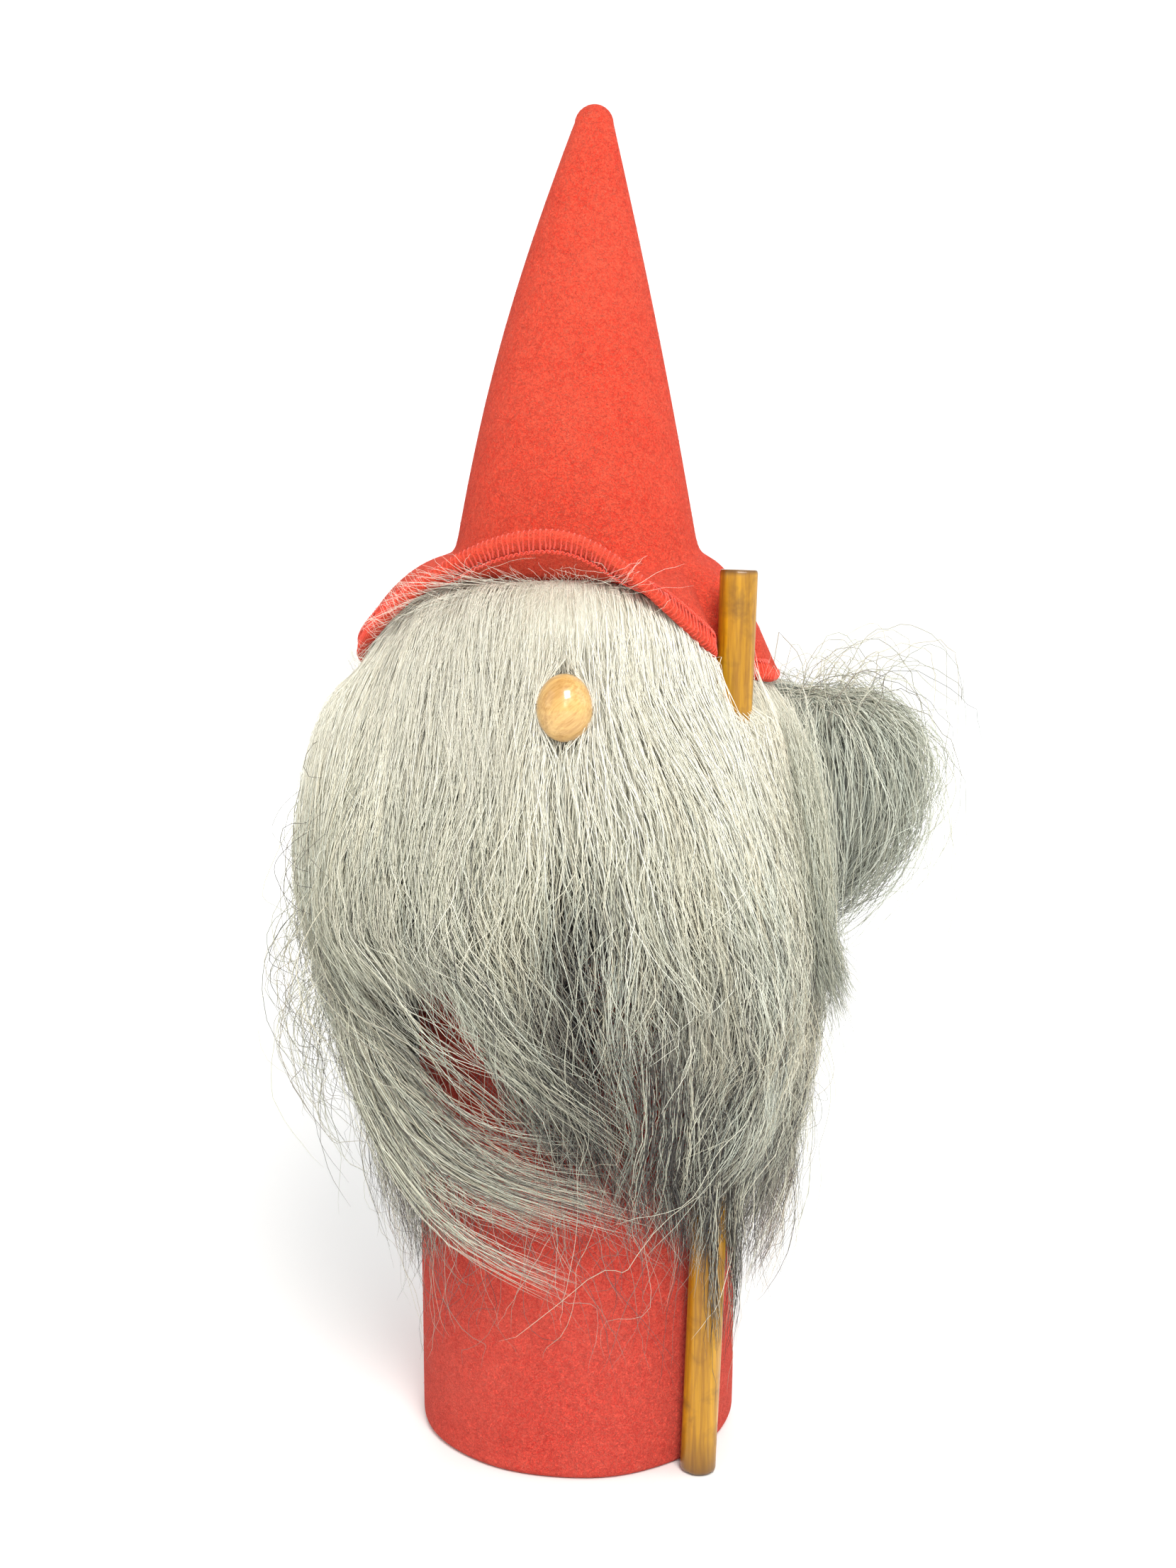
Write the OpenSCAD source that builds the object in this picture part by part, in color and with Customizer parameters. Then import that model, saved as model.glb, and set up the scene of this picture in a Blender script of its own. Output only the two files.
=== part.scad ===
// Tomte figurine: a felt-covered cylinder with a long goat-hair beard,
// a wooden bead nose, a felt hat and a wooden staff.
// The front is -Y, the floor is z = 0 and the origin is the centre of the underside.

/* [Body] */
// Outer diameter of the felt-covered body
body_d = 90; // [70:1:120]
// Height of the cardboard tube's top above the floor
body_h = 196; // [150:1:260]
// Thickness of the wool felt on the body and the hat
felt_t = 3; // [1.5:0.1:4]
// Radius of the soft rounded lower edge of the felt sleeve
hem_r = 2.6; // [0.5:0.1:2.8]
// Thickness of the felt disc under the base
base_felt_t = 2.5; // [1:0.1:5]
// Wall of the cardboard tube
tube_wall = 3; // [1.5:0.1:6]
// Thickness of the hardboard base disc
base_disc_t = 4; // [2:0.5:8]
// Thickness of the wooden disc in the top of the tube
tube_cap_t = 8; // [4:0.5:15]
// Height of the sand bag on the base disc
ballast_h = 30; // [10:1:60]
// Gap that glue fills between glued pieces
glue_gap = 0.1; // [0.05:0.05:0.4]

/* [Head] */
// Height of the head form above the tube
head_h = 67; // [50:1:90]
// Diameter of the dowel that pins the head form to the tube cap
head_pin_d = 8; // [5:0.5:12]
// Depth of the dowel in the head form
head_pin_in = 30; // [10:1:45]
// Thickness of the tanned hide that the hair grows on
hide_t = 1.2; // [0.6:0.1:1.6]
// Height of the hide's lower edge above the floor
hide_low_z = 120; // [100:1:150]

/* [Nose] */
// Width of the bead
nose_d = 14.3; // [8:0.1:22]
// Height of the bead
nose_h = 16.8; // [8:0.1:26]
// Height of the bead's centre above the tube
nose_up = 15.8; // [10:0.1:22]
// Distance of the bead's centre in front of the body's surface
nose_out = 15; // [12:0.5:20]
// Sideways place of the bead
nose_x = -2.7; // [-6:0.1:6]
// Diameter of the peg that holds the bead
nose_peg_d = 3; // [2:0.1:5]

/* [Hair] */
// Depth of the hair at its fullest, on the left
hair_left_depth = 32.5; // [10:0.5:45]
// Depth of the hair at its fullest, on the right
hair_right_depth = 21; // [12:0.5:45]
// Depth of the hair at its fullest, at the back
hair_back_depth = 25; // [10:0.5:45]
// Depth of the beard at its fullest
beard_depth = 17.5; // [10:0.5:30]
// Height at which the hair is fullest
hair_full_z = 158; // [130:1:170]
// Height of the hair's lower ends
hair_low_z = 58; // [30:1:100]
// Depth of the side tuft beyond the hair on the right
tuft_depth = 32; // [5:0.5:45]

/* [Hat] */
// Height of the hat's tip above the fold between crown and brim
crown_h = 118; // [70:1:160]
// Height of that fold above the tube
crown_up = 50; // [45:1:60]
// Radius of the crown at the fold
crown_r = 31.8; // [28:0.1:38]
// Radius of the rounded tip
tip_r = 5.2; // [4.5:0.1:9]
// How far the tip leans to the right
lean = 6; // [0:0.5:10]
// Radius of the brim
brim_r = 56.2; // [48:0.1:66]
// How much wider the brim is on the left than in the middle
brim_skew = 2.2; // [0:0.1:5]
// How far the brim droops below the fold
brim_drop = 32; // [20:0.5:38]
// How far the turned-up front rises above the drooping edge
brim_rise = 39.3; // [0:0.5:46]

/* [Staff] */
// Diameter of the dowel
staff_d = 10; // [6:0.5:14]
// Height of the staff's top above the floor
staff_h = 244; // [200:1:300]
// Direction of the foot, seen from above
staff_foot_a = -49; // [-52:1:-44]
// Direction of the top, seen from above
staff_top_a = -39.3; // [-44:0.1:-36]
// How much further out the top stands than the foot
staff_lean_out = 3.35; // [0:0.05:8]
// Sliding clearance of the staff in its loop, on the radius
staff_fit = 0.2; // [0.1:0.05:0.5]
// Height of the leather loop above the floor
loop_z = 150; // [135:1:165]
// Width of the leather loop along the staff
loop_w = 12; // [6:1:20]
// Thickness of the loop's leather
loop_t = 1; // [0.8:0.1:2]

/* [Hidden] */
$fn = 96;

RED = [0.86, 0.2, 0.15];
HAT_RED = [0.95, 0.3, 0.2];
GREY_HAIR = [0.72, 0.73, 0.69];
DARK_HAIR = [0.45, 0.46, 0.46];
STAFF_STAIN = [0.72, 0.5, 0.13];
PALE_WOOD = [0.9, 0.72, 0.42];

body_r = body_d / 2;
tube_r = body_r - felt_t - glue_gap;
tube_in_r = tube_r - tube_wall;
tube_low_z = base_felt_t + glue_gap;
cap_low_z = body_h - tube_cap_t;
disc_r = tube_in_r - glue_gap;
thread_r = 0.4;
stitch_l = 3.2;
stitch_pitch = 6;

// The head form: a shoulder from the body's width up to the hat's inside.
neck_z = body_h + 2.2;
crown_z = body_h + crown_up;
front_dip = 6;
hat_fit = 0.5;
crown_in_r = crown_r - felt_t - hat_fit;
shoulder_top_z = crown_z - front_dip - felt_t / 2 - 0.5;
head_top_z = body_h + head_h;
head_edge = 6;
head_peak_r = crown_in_r - crown_r * (head_top_z - crown_z) / crown_h - lean / 4;
function shoulder_r(z) =
    z <= neck_z ? body_r : body_r + (crown_in_r - body_r) * (z - neck_z) / (shoulder_top_z - neck_z);
hide_top_z = shoulder_top_z - 4;
hide_r = body_r + glue_gap + hide_t;

// The staff's axis, from the centre of its foot to the centre of its top.
staff_r = staff_d / 2;
stand_gap = 0.3;
foot_lift = 0.2;
foot_r = body_r + staff_r + stand_gap;
top_r = foot_r + staff_lean_out;
staff_foot = [foot_r * cos(staff_foot_a), foot_r * sin(staff_foot_a), foot_lift];
staff_top = [top_r * cos(staff_top_a), top_r * sin(staff_top_a), staff_h];
staff_line = staff_top - staff_foot;
staff_l = norm(staff_line);
staff_tilt = acos(staff_line[2] / staff_l);
staff_turn = atan2(staff_line[1], staff_line[0]);
function staff_at(z) = staff_foot + staff_line * (z - foot_lift) / (staff_h - foot_lift);

// The brim: its edge runs high over the face and droops at the sides and the back,
// and is pressed in where it meets the staff.
brim_peak_a = -97;
brim_left_w = 56;
brim_right_w = 40;
brim_roll = 1.4;
brim_low_z = crown_z - brim_drop;
notch_w = 8;
brim_gap = 1.2;
notch_at = staff_at(brim_low_z + felt_t);
notch_a = atan2(notch_at[1], notch_at[0]);
notch_r = norm([notch_at[0], notch_at[1]]) - staff_r - brim_gap - felt_t / 2;
notch_depth = max(0, brim_r - brim_skew * cos(notch_a) - notch_r);
function wrap(a) = a > 180 ? a - 360 : a <= -180 ? a + 360 : a;
function bell(d, w) = exp(-pow(d / w, 2));
function peak_turn(a) = wrap(a - brim_peak_a);
function edge_z(a) =
    brim_low_z + brim_rise * bell(peak_turn(a), peak_turn(a) < 0 ? brim_left_w : brim_right_w);
function edge_r(a) = brim_r - brim_skew * cos(a) - notch_depth * bell(wrap(a - notch_a), notch_w);
function fold_z(a) = crown_z - front_dip * bell(peak_turn(a), brim_left_w);
// A point of the brim's middle layer, [r, z]: t is 0 at the fold and 90 at the edge.
function brim_at(a, t) = [
    crown_r + (edge_r(a) - crown_r) * sin(t),
    edge_z(a) + (fold_z(a) - edge_z(a)) * pow(max(0, cos(t)), brim_roll)
];
function unit(v) = v / norm(v);
function brim_run(a, t) = unit(brim_at(a, min(90, t + 2)) - brim_at(a, max(0, t - 2)));
function up_side(run) = [-run[1], run[0]];

// The crown: a leaning cone that ends in a rounded tip.
hat_top_z = crown_z + crown_h;
tip_z = hat_top_z - tip_r;
cone_a = atan2(crown_r - tip_r, tip_z - crown_z);
mitre = [cos(cone_a), 1 + sin(cone_a)] / (1 + sin(cone_a));
function lean_at(z) = lean * max(0, z - crown_z) / crown_h;
function ring(a_list, rz) = [
    for (i = [0:len(a_list) - 1])
        [rz[i][0] * cos(a_list[i]) + lean_at(rz[i][1]), rz[i][0] * sin(a_list[i]), rz[i][1]]
];
hat_steps = 72;
hat_turns = [for (i = [0:hat_steps - 1]) -180 + 360 * i / hat_steps];
brim_steps = 9;
tip_steps = 4;
cone_steps = 3;
// side is +1 for the outer layer and -1 for the inner one.
function brim_ring(t, side) = ring(hat_turns, [
    for (a = hat_turns) brim_at(a, t) + side * felt_t / 2 * up_side(brim_run(a, t))
]);
function fold_ring(side) = ring(hat_turns, [
    for (a = hat_turns) [crown_r, fold_z(a)] + side * felt_t / 2 * mitre
]);
function tip_rz(t, side) = let (r = side > 0 ? tip_r : tip_r - felt_t)
    [r * cos(t), tip_z + r * sin(t)];
function cone_ring(k, side) = ring(hat_turns, [
    for (a = hat_turns)
        let (low = [crown_r, fold_z(a)] + side * felt_t / 2 * mitre)
        low + (tip_rz(cone_a, side) - low) * k
]);
function tip_ring(t, side) = ring(hat_turns, [for (a = hat_turns) tip_rz(t, side)]);
function hat_rings(side) = [
    for (i = [0:brim_steps - 1]) brim_ring(90 - 84 * i / (brim_steps - 1), side),
    fold_ring(side),
    for (i = [1:cone_steps]) cone_ring(i / cone_steps, side),
    for (i = [1:tip_steps]) tip_ring(cone_a + (84 - cone_a) * i / tip_steps, side)
];
function flat_list(rings) = [for (points = rings) for (p = points) p];

// The hair: simple bulging shells round the hide, split into locks.
hair_gap = 0.4;
hair_in_r = hide_r + hair_gap;
lock_gap_a = 0.6;
hair_top_z = brim_low_z - felt_t - 4;
brow_top_z = shoulder_top_z - 2;
hair_steps = 4;
staff_gap_from = -62;
staff_gap_to = -27;
top_share = 0.62;
low_share = 0.15;
function hair_share(z) = z > hair_full_z
    ? 1 - (1 - top_share) * pow((z - hair_full_z) / (hair_top_z - hair_full_z), 2)
    : 1 - (1 - low_share) * pow((hair_full_z - z) / (hair_full_z - hair_low_z), 1.2);
function hair_r(z, depth) = hair_in_r + depth * hair_share(z);
function hair_side(depth) = [
    for (i = [0:2 * hair_steps])
        let (z = hair_low_z + (hair_top_z - hair_low_z) * i / (2 * hair_steps))
        [hair_r(z, depth), z]
];

// Straight run of stitches along Z, with its middle line at the origin.
module stitches(count, length, pitch) {
    for (i = [0:count - 1])
        translate([0, 0, i * pitch])
            cylinder(r = thread_r, h = length, $fn = 16);
}

// What is drawn in its own +Z is laid along the staff, from its foot.
module along_staff() {
    translate(staff_foot)
        rotate([0, staff_tilt, staff_turn])
            children();
}

module base_felt() {
    color(RED)
        cylinder(r = tube_r, h = base_felt_t);
}

module base_disc() {
    color("tan")
        translate([0, 0, tube_low_z])
            cylinder(r = disc_r, h = base_disc_t);
}

module body_tube() {
    color("burlywood")
        translate([0, 0, tube_low_z])
            difference() {
                cylinder(r = tube_r, h = body_h - tube_low_z);
                translate([0, 0, -1])
                    cylinder(r = tube_in_r, h = body_h - tube_low_z + 2);
            }
}

// The sleeve, with its lower edge rolled in round the foot of the tube.
module body_felt() {
    inner_r = tube_r + glue_gap;
    color(RED)
        rotate_extrude()
            union() {
                translate([inner_r, hem_r])
                    square([felt_t, body_h - hem_r]);
                translate([inner_r, 0])
                    square([felt_t - hem_r, hem_r + 1]);
                intersection() {
                    translate([body_r - hem_r, hem_r])
                        circle(r = hem_r, $fn = 48);
                    translate([body_r - hem_r - 0.01, 0])
                        square([hem_r + 1, hem_r + 0.01]);
                }
            }
}

// Hand stitches that close the sleeve at the back.
module body_seam_thread() {
    first_z = 8;
    count = floor((hide_low_z - 2 - first_z - stitch_l) / stitch_pitch) + 1;
    color("firebrick")
        translate([0, body_r + glue_gap + thread_r, first_z])
            stitches(count, stitch_l, stitch_pitch);
}

module ballast_bag() {
    bag_r = disc_r - 4;
    round_r = 5;
    color("beige")
        translate([0, 0, tube_low_z + base_disc_t + glue_gap])
            rotate_extrude()
                union() {
                    square([bag_r - round_r, ballast_h]);
                    translate([0, round_r])
                        square([bag_r, ballast_h - 2 * round_r]);
                    translate([bag_r - round_r, round_r])
                        circle(r = round_r, $fn = 48);
                    translate([bag_r - round_r, ballast_h - round_r])
                        circle(r = round_r, $fn = 48);
                }
}

module tube_cap() {
    color("wheat")
        translate([0, 0, cap_low_z])
            difference() {
                cylinder(r = disc_r, h = tube_cap_t);
                translate([0, 0, -1])
                    cylinder(d = head_pin_d + 2 * glue_gap, h = tube_cap_t + 2);
            }
}

module head_pin() {
    color("wheat")
        translate([0, 0, cap_low_z - 2])
            cylinder(d = head_pin_d, h = tube_cap_t + 2 + head_pin_in);
}

module nose_peg_space(clearance) {
    translate([nose_x, -body_r - nose_out + 1 - clearance, body_h + nose_up])
        rotate([-90, 0, 0])
            cylinder(d = nose_peg_d + 2 * clearance, h = nose_out + body_r / 2 + 2 * clearance,
                     $fn = 48);
}

module head_form() {
    color("whitesmoke")
        difference() {
            rotate_extrude()
                polygon([
                    [0, body_h + glue_gap],
                    [body_r - glue_gap, body_h + glue_gap],
                    [body_r - glue_gap, neck_z],
                    [crown_in_r, shoulder_top_z],
                    [head_peak_r, head_top_z - head_edge],
                    [head_peak_r - head_edge, head_top_z],
                    [0, head_top_z]
                ]);
            translate([0, 0, body_h - 1])
                cylinder(d = head_pin_d + 2 * glue_gap, h = head_pin_in + 1 + glue_gap);
            nose_peg_space(glue_gap);
        }
}

// The tanned strip that carries the hair, wrapped round the shoulder and the body.
module hair_hide() {
    in_r = body_r + glue_gap;
    top_in_r = shoulder_r(hide_top_z) + 2 * glue_gap;
    color("antiquewhite")
        difference() {
            rotate_extrude()
                polygon([
                    [in_r, hide_low_z],
                    [in_r + hide_t, hide_low_z],
                    [in_r + hide_t, neck_z + glue_gap],
                    [top_in_r + hide_t, hide_top_z],
                    [top_in_r, hide_top_z],
                    [in_r, neck_z + glue_gap]
                ]);
            nose_peg_space(glue_gap);
        }
}

// One lock of the low hair, from angle "from" to angle "to".
module hair_lock(from, to, depth) {
    rotate([0, 0, from + lock_gap_a / 2])
        rotate_extrude(angle = to - from - lock_gap_a)
            polygon([
                [hair_in_r, hair_low_z],
                each hair_side(depth),
                [hair_in_r, hair_top_z]
            ]);
}

// One half of the beard, which also covers the brow under the turned-up brim.
module beard_half(from, to, depth) {
    brow_in_r = shoulder_r(brow_top_z) + 2 * glue_gap + hide_t + hair_gap;
    brow_r = body_r + 5;
    color(GREY_HAIR)
        difference() {
            rotate([0, 0, from + lock_gap_a / 2])
                rotate_extrude(angle = to - from - lock_gap_a)
                    polygon([
                        [hair_in_r, hair_low_z],
                        each hair_side(depth),
                        [brow_r, hair_top_z + 13],
                        [brow_r - 6, brow_top_z],
                        [brow_in_r, brow_top_z],
                        [hair_in_r, neck_z + glue_gap]
                    ]);
            nose_pocket();
            nose_peg_space(hair_gap);
        }
}

// The round hollow that the bead presses into the hair.
module nose_pocket() {
    translate([nose_x, -body_r - nose_out + nose_d / 2 + hair_gap, body_h + nose_up])
        rotate([90, 0, 0])
            cylinder(d = nose_h + 2 * hair_gap, h = nose_out + nose_d);
}

// An egg-shaped bead, with a plain band round its middle where the peg's hole is.
module nose_bead() {
    step = 90 / 7;
    color(PALE_WOOD)
        difference() {
            translate([nose_x, -body_r - nose_out, body_h + nose_up])
                rotate_extrude($fn = 64)
                    polygon([
                        for (t = [-7:7])
                            if (t != 0)
                                [nose_d / 2 * cos(t * step), nose_h / 2 * sin(t * step)]
                    ]);
            nose_peg_space(glue_gap);
        }
}

module nose_peg() {
    color(PALE_WOOD)
        nose_peg_space(0);
}

module beard_left() {
    beard_half(-148, -90, beard_depth);
}

module beard_right() {
    beard_half(-90, staff_gap_from, beard_depth);
}

module hair_left() {
    color(GREY_HAIR)
        hair_lock(145, 212, hair_left_depth);
}

module hair_right() {
    color(GREY_HAIR)
        hair_lock(staff_gap_to, 35, hair_right_depth);
}

// The hair that hangs in front of the staff and its loop, clear of the staff's whole way.
module hair_over_staff() {
    at_top = staff_at(hair_top_z);
    in_r = norm([at_top[0], at_top[1]]) + staff_r + 2 * hair_gap;
    least_t = 1.5;
    low_z = hair_full_z - 40;
    high_z = hair_top_z - 8;
    color(GREY_HAIR)
        rotate([0, 0, staff_gap_from + lock_gap_a / 2])
            rotate_extrude(angle = staff_gap_to - staff_gap_from - lock_gap_a)
                polygon([
                    [in_r, low_z],
                    for (i = [0:hair_steps])
                        let (z = low_z + (high_z - low_z) * i / hair_steps)
                        [max(in_r + least_t, hair_r(z, hair_right_depth)), z],
                    [in_r, high_z]
                ]);
}

module hair_back_left() {
    color(DARK_HAIR)
        hair_lock(90, 145, hair_back_depth);
}

module hair_back_right() {
    color(DARK_HAIR)
        hair_lock(35, 90, hair_back_depth);
}

// The puffed lock that stands out behind the staff.
module side_tuft() {
    low_z = 148;
    edge_t = 2;
    half = (hair_top_z - low_z) / 2;
    function tuft_r(i, share) =
        let (z = low_z + half + half * i / hair_steps)
        [hair_r(z, hair_right_depth) + hair_gap
            + share * (edge_t + (tuft_depth - edge_t) * (1 - pow(i / hair_steps, 2))), z];
    color(DARK_HAIR)
        rotate([0, 0, -14])
            rotate_extrude(angle = 46)
                polygon([
                    for (i = [-hair_steps:hair_steps]) tuft_r(i, 1),
                    for (i = [-hair_steps:hair_steps]) tuft_r(-i, 0)
                ]);
}

// A strip of leather that is sewn to the hide on both sides of the staff.
module staff_loop() {
    wing_a = 15;
    loop_at = staff_at(loop_z);
    loop_a = atan2(loop_at[1], loop_at[0]);
    color("saddlebrown")
        difference() {
            union() {
                along_staff()
                    translate([0, 0, loop_z - loop_w / 2])
                        cylinder(r = staff_r + staff_fit + loop_t, h = loop_w);
                translate([0, 0, loop_z - loop_w / 2])
                    rotate([0, 0, loop_a - wing_a])
                        rotate_extrude(angle = 2 * wing_a)
                            translate([hide_r + glue_gap, 0])
                                square([loop_t, loop_w]);
            }
            translate([0, 0, loop_z - loop_w])
                cylinder(r = hide_r + glue_gap, h = 2 * loop_w);
            along_staff()
                translate([0, 0, loop_z - loop_w])
                    cylinder(r = staff_r + staff_fit, h = 2 * loop_w);
        }
}

module loop_thread() {
    stitch_a = 12.5;
    loop_at = staff_at(loop_z);
    loop_a = atan2(loop_at[1], loop_at[0]);
    r = hide_r + 2 * glue_gap + loop_t + thread_r;
    count = floor((loop_w - 1) / 4);
    color("ivory")
        for (side = [-1, 1])
            rotate([0, 0, loop_a + side * stitch_a])
                translate([r, 0, loop_z - loop_w / 2 + 1])
                    stitches(count, 2.4, 4);
}

// The dowel, with a worn round foot and a sawn top.
module staff() {
    wear = 1.6;
    top_edge = 0.4;
    color(STAFF_STAIN)
        along_staff()
            rotate_extrude()
                polygon([
                    [0, 0],
                    [staff_r - wear, 0],
                    [staff_r - wear / 3, wear / 3],
                    [staff_r, wear],
                    [staff_r, staff_l - top_edge],
                    [staff_r - top_edge, staff_l],
                    [0, staff_l]
                ]);
}

// A closed skin over two stacks of rings that share an edge and end in a point each.
module hat_felt() {
    outer = hat_rings(1);
    inner = hat_rings(-1);
    n = hat_steps;
    m = len(outer);
    outer_tip = [lean_at(hat_top_z), 0, hat_top_z];
    inner_tip = [lean_at(hat_top_z - felt_t), 0, hat_top_z - felt_t];
    points = [each flat_list(outer), each flat_list(inner), outer_tip, inner_tip];
    function at(side, k, i) = side * m * n + k * n + i % n;
    color(HAT_RED)
        polyhedron(points, [
            for (k = [0:m - 2], i = [0:n - 1]) [at(0, k, i), at(0, k + 1, i), at(0, k, i + 1)],
            for (k = [0:m - 2], i = [0:n - 1])
                [at(0, k + 1, i), at(0, k + 1, i + 1), at(0, k, i + 1)],
            for (k = [0:m - 2], i = [0:n - 1]) [at(1, k, i), at(1, k, i + 1), at(1, k + 1, i)],
            for (k = [0:m - 2], i = [0:n - 1])
                [at(1, k + 1, i), at(1, k, i + 1), at(1, k + 1, i + 1)],
            for (i = [0:n - 1]) [at(0, 0, i), at(0, 0, i + 1), at(1, 0, i)],
            for (i = [0:n - 1]) [at(0, 0, i + 1), at(1, 0, i + 1), at(1, 0, i)],
            for (i = [0:n - 1]) [at(0, m - 1, i), 2 * m * n, at(0, m - 1, i + 1)],
            for (i = [0:n - 1]) [at(1, m - 1, i), at(1, m - 1, i + 1), 2 * m * n + 1]
        ], convexity = 8);
}

// The sewn edge of the brim: one round thread just off the felt, all the way round.
module hat_edge_thread() {
    edge_thread_r = 0.7;
    sides = 8;
    off = 3 * glue_gap + edge_thread_r;
    rings = [
        for (j = [0:sides - 1])
            ring(hat_turns, [
                for (a = hat_turns)
                    let (run = brim_run(a, 90), up = up_side(run), s = 360 * j / sides)
                    brim_at(a, 90) + off * run
                        + edge_thread_r * (cos(s) * run + sin(s) * up)
            ])
    ];
    n = hat_steps;
    function at(j, i) = (j % sides) * n + i % n;
    color("red")
        polyhedron(flat_list(rings), [
            for (j = [0:sides - 1], i = [0:n - 1]) [at(j, i), at(j + 1, i), at(j, i + 1)],
            for (j = [0:sides - 1], i = [0:n - 1]) [at(j + 1, i), at(j + 1, i + 1), at(j, i + 1)]
        ], convexity = 8);
}

// Stitches that close the crown at the back.
module hat_seam_thread() {
    seam_low = 8;
    seam_l = tip_z - crown_z - 2 * seam_low;
    count = floor((seam_l - stitch_l) / stitch_pitch) + 1;
    low_r = crown_r + felt_t / 2 * mitre[0];
    slope_a = atan2(low_r - tip_r * cos(cone_a), tip_z + tip_r * sin(cone_a) - crown_z - felt_t / 2);
    color("red")
        translate([0, low_r + glue_gap + 2 * thread_r, crown_z + felt_t / 2])
            rotate([slope_a, atan(lean / crown_h), 0])
                translate([0, 0, seam_low])
                    stitches(count, stitch_l, stitch_pitch);
}

// Wadding that fills the upper part of the crown.
module hat_filling() {
    low_up = 39;
    top_up = crown_h - 16;
    wad_gap = 1;
    low = [crown_r, 0] - felt_t / 2 * mitre;
    tip = tip_rz(cone_a, -1) - [0, crown_z];
    function in_r(up) = low[0] + (tip[0] - low[0]) * (up - low[1]) / (tip[1] - low[1]);
    color("white")
        translate([lean_at(crown_z + low_up), 0, crown_z + low_up])
            rotate([0, atan(lean / crown_h), 0])
                cylinder(r1 = in_r(low_up) - wad_gap, r2 = in_r(top_up) - wad_gap,
                         h = top_up - low_up);
}

base_felt();
base_disc();
body_tube();
body_felt();
body_seam_thread();
ballast_bag();
tube_cap();
head_pin();
head_form();
hair_hide();
beard_left();
beard_right();
hair_left();
hair_right();
hair_back_left();
hair_back_right();
hair_over_staff();
side_tuft();
nose_bead();
nose_peg();
staff_loop();
loop_thread();
staff();
hat_felt();
hat_edge_thread();
hat_seam_thread();
hat_filling();
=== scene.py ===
"""A felt-covered tomte gnome with a long hair beard, a wooden bead nose, a tall felt hat and a staff."""
import math

import bpy
import numpy as np
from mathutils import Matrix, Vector


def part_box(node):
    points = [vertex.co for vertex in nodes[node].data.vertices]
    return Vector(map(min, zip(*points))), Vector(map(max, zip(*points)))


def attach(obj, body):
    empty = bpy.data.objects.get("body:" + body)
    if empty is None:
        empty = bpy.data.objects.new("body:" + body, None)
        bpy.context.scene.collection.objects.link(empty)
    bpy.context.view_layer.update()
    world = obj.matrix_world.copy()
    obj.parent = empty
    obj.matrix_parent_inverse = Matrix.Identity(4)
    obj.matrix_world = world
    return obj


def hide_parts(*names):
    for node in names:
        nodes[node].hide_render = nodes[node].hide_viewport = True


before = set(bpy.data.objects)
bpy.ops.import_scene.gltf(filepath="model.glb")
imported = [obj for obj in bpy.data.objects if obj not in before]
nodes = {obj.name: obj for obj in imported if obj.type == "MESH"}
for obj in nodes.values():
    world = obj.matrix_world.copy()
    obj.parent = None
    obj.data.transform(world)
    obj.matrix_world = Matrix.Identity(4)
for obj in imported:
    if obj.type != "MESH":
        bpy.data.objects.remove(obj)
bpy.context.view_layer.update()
MM = 0.001

# ---------------------------------------------------------------------------------------------
# Sleeve: a strip of red wool felt, 3 mm thick, wrapped round the card tube and closed at the back
# by hand. Its lower edge is rolled soft and sits a little uneven on the shelf.


def paint(red, green, blue):
    """A colour given as screen values from 0 to 255, as the shader wants it."""
    made = []
    for value in (red, green, blue):
        share = value / 255
        made.append(share / 12.92 if share <= 0.04045 else ((share + 0.055) / 1.055) ** 2.4)
    return (*made, 1.0)


def plug(tree, value, socket):
    """Joins a socket to another node's output, or gives it a plain value."""
    if isinstance(value, bpy.types.NodeSocket):
        tree.links.new(value, socket)
    else:
        socket.default_value = value


def node(tree, kind, **values):
    """Adds a shader node; names with a leading underscore are settings, the others are input sockets."""
    made = tree.nodes.new(kind)
    for name, value in values.items():
        if name.startswith("_"):
            setattr(made, name[1:], value)
        else:
            plug(tree, value, made.inputs[name.replace("_", " ")])
    return made


def reckon(tree, operation, *values):
    """Result of a maths node whose inputs are the values in turn."""
    made = node(tree, "ShaderNodeMath", _operation=operation)
    for value, socket in zip(values, made.inputs):
        plug(tree, value, socket)
    return made.outputs[0]


def new_finish(name, roughness, **sockets):
    """An empty material with its Principled shader."""
    made = bpy.data.materials.new(name)
    made.use_nodes = True
    shader = made.node_tree.nodes["Principled BSDF"]
    shader.inputs["Roughness"].default_value = roughness
    for socket, value in sockets.items():
        shader.inputs[socket.replace("_", " ")].default_value = value
    return made, made.node_tree, shader


def new_effect(name, inputs, outputs):
    """An empty shader node group with named sockets, and its two end nodes."""
    group = bpy.data.node_groups.new(name, "ShaderNodeTree")
    for label, (kind, value) in inputs.items():
        socket = group.interface.new_socket(name=label, in_out="INPUT", socket_type="NodeSocket" + kind)
        socket.default_value = value
    for label, kind in outputs.items():
        group.interface.new_socket(name=label, in_out="OUTPUT", socket_type="NodeSocket" + kind)
    start = group.nodes.new("NodeGroupInput")
    end = group.nodes.new("NodeGroupOutput")
    return group, start, end


def use_effect(tree, group, **values):
    """Places an effect in a material with its own values."""
    made = tree.nodes.new("ShaderNodeGroup")
    made.node_tree = group
    for name, value in values.items():
        made.inputs[name.replace("_", " ")].default_value = value
    return made


def blend_stops(tree, factor, stops):
    """A colour ramp through (place, colour) stops."""
    made = tree.nodes.new("ShaderNodeValToRGB")
    tree.links.new(factor, made.inputs["Fac"])
    parts = made.color_ramp.elements
    while len(parts) < len(stops):
        parts.new(0.5)
    for part, (place, colour) in zip(parts, stops):
        part.position = place
        part.color = colour
    return made.outputs["Color"]


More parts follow.
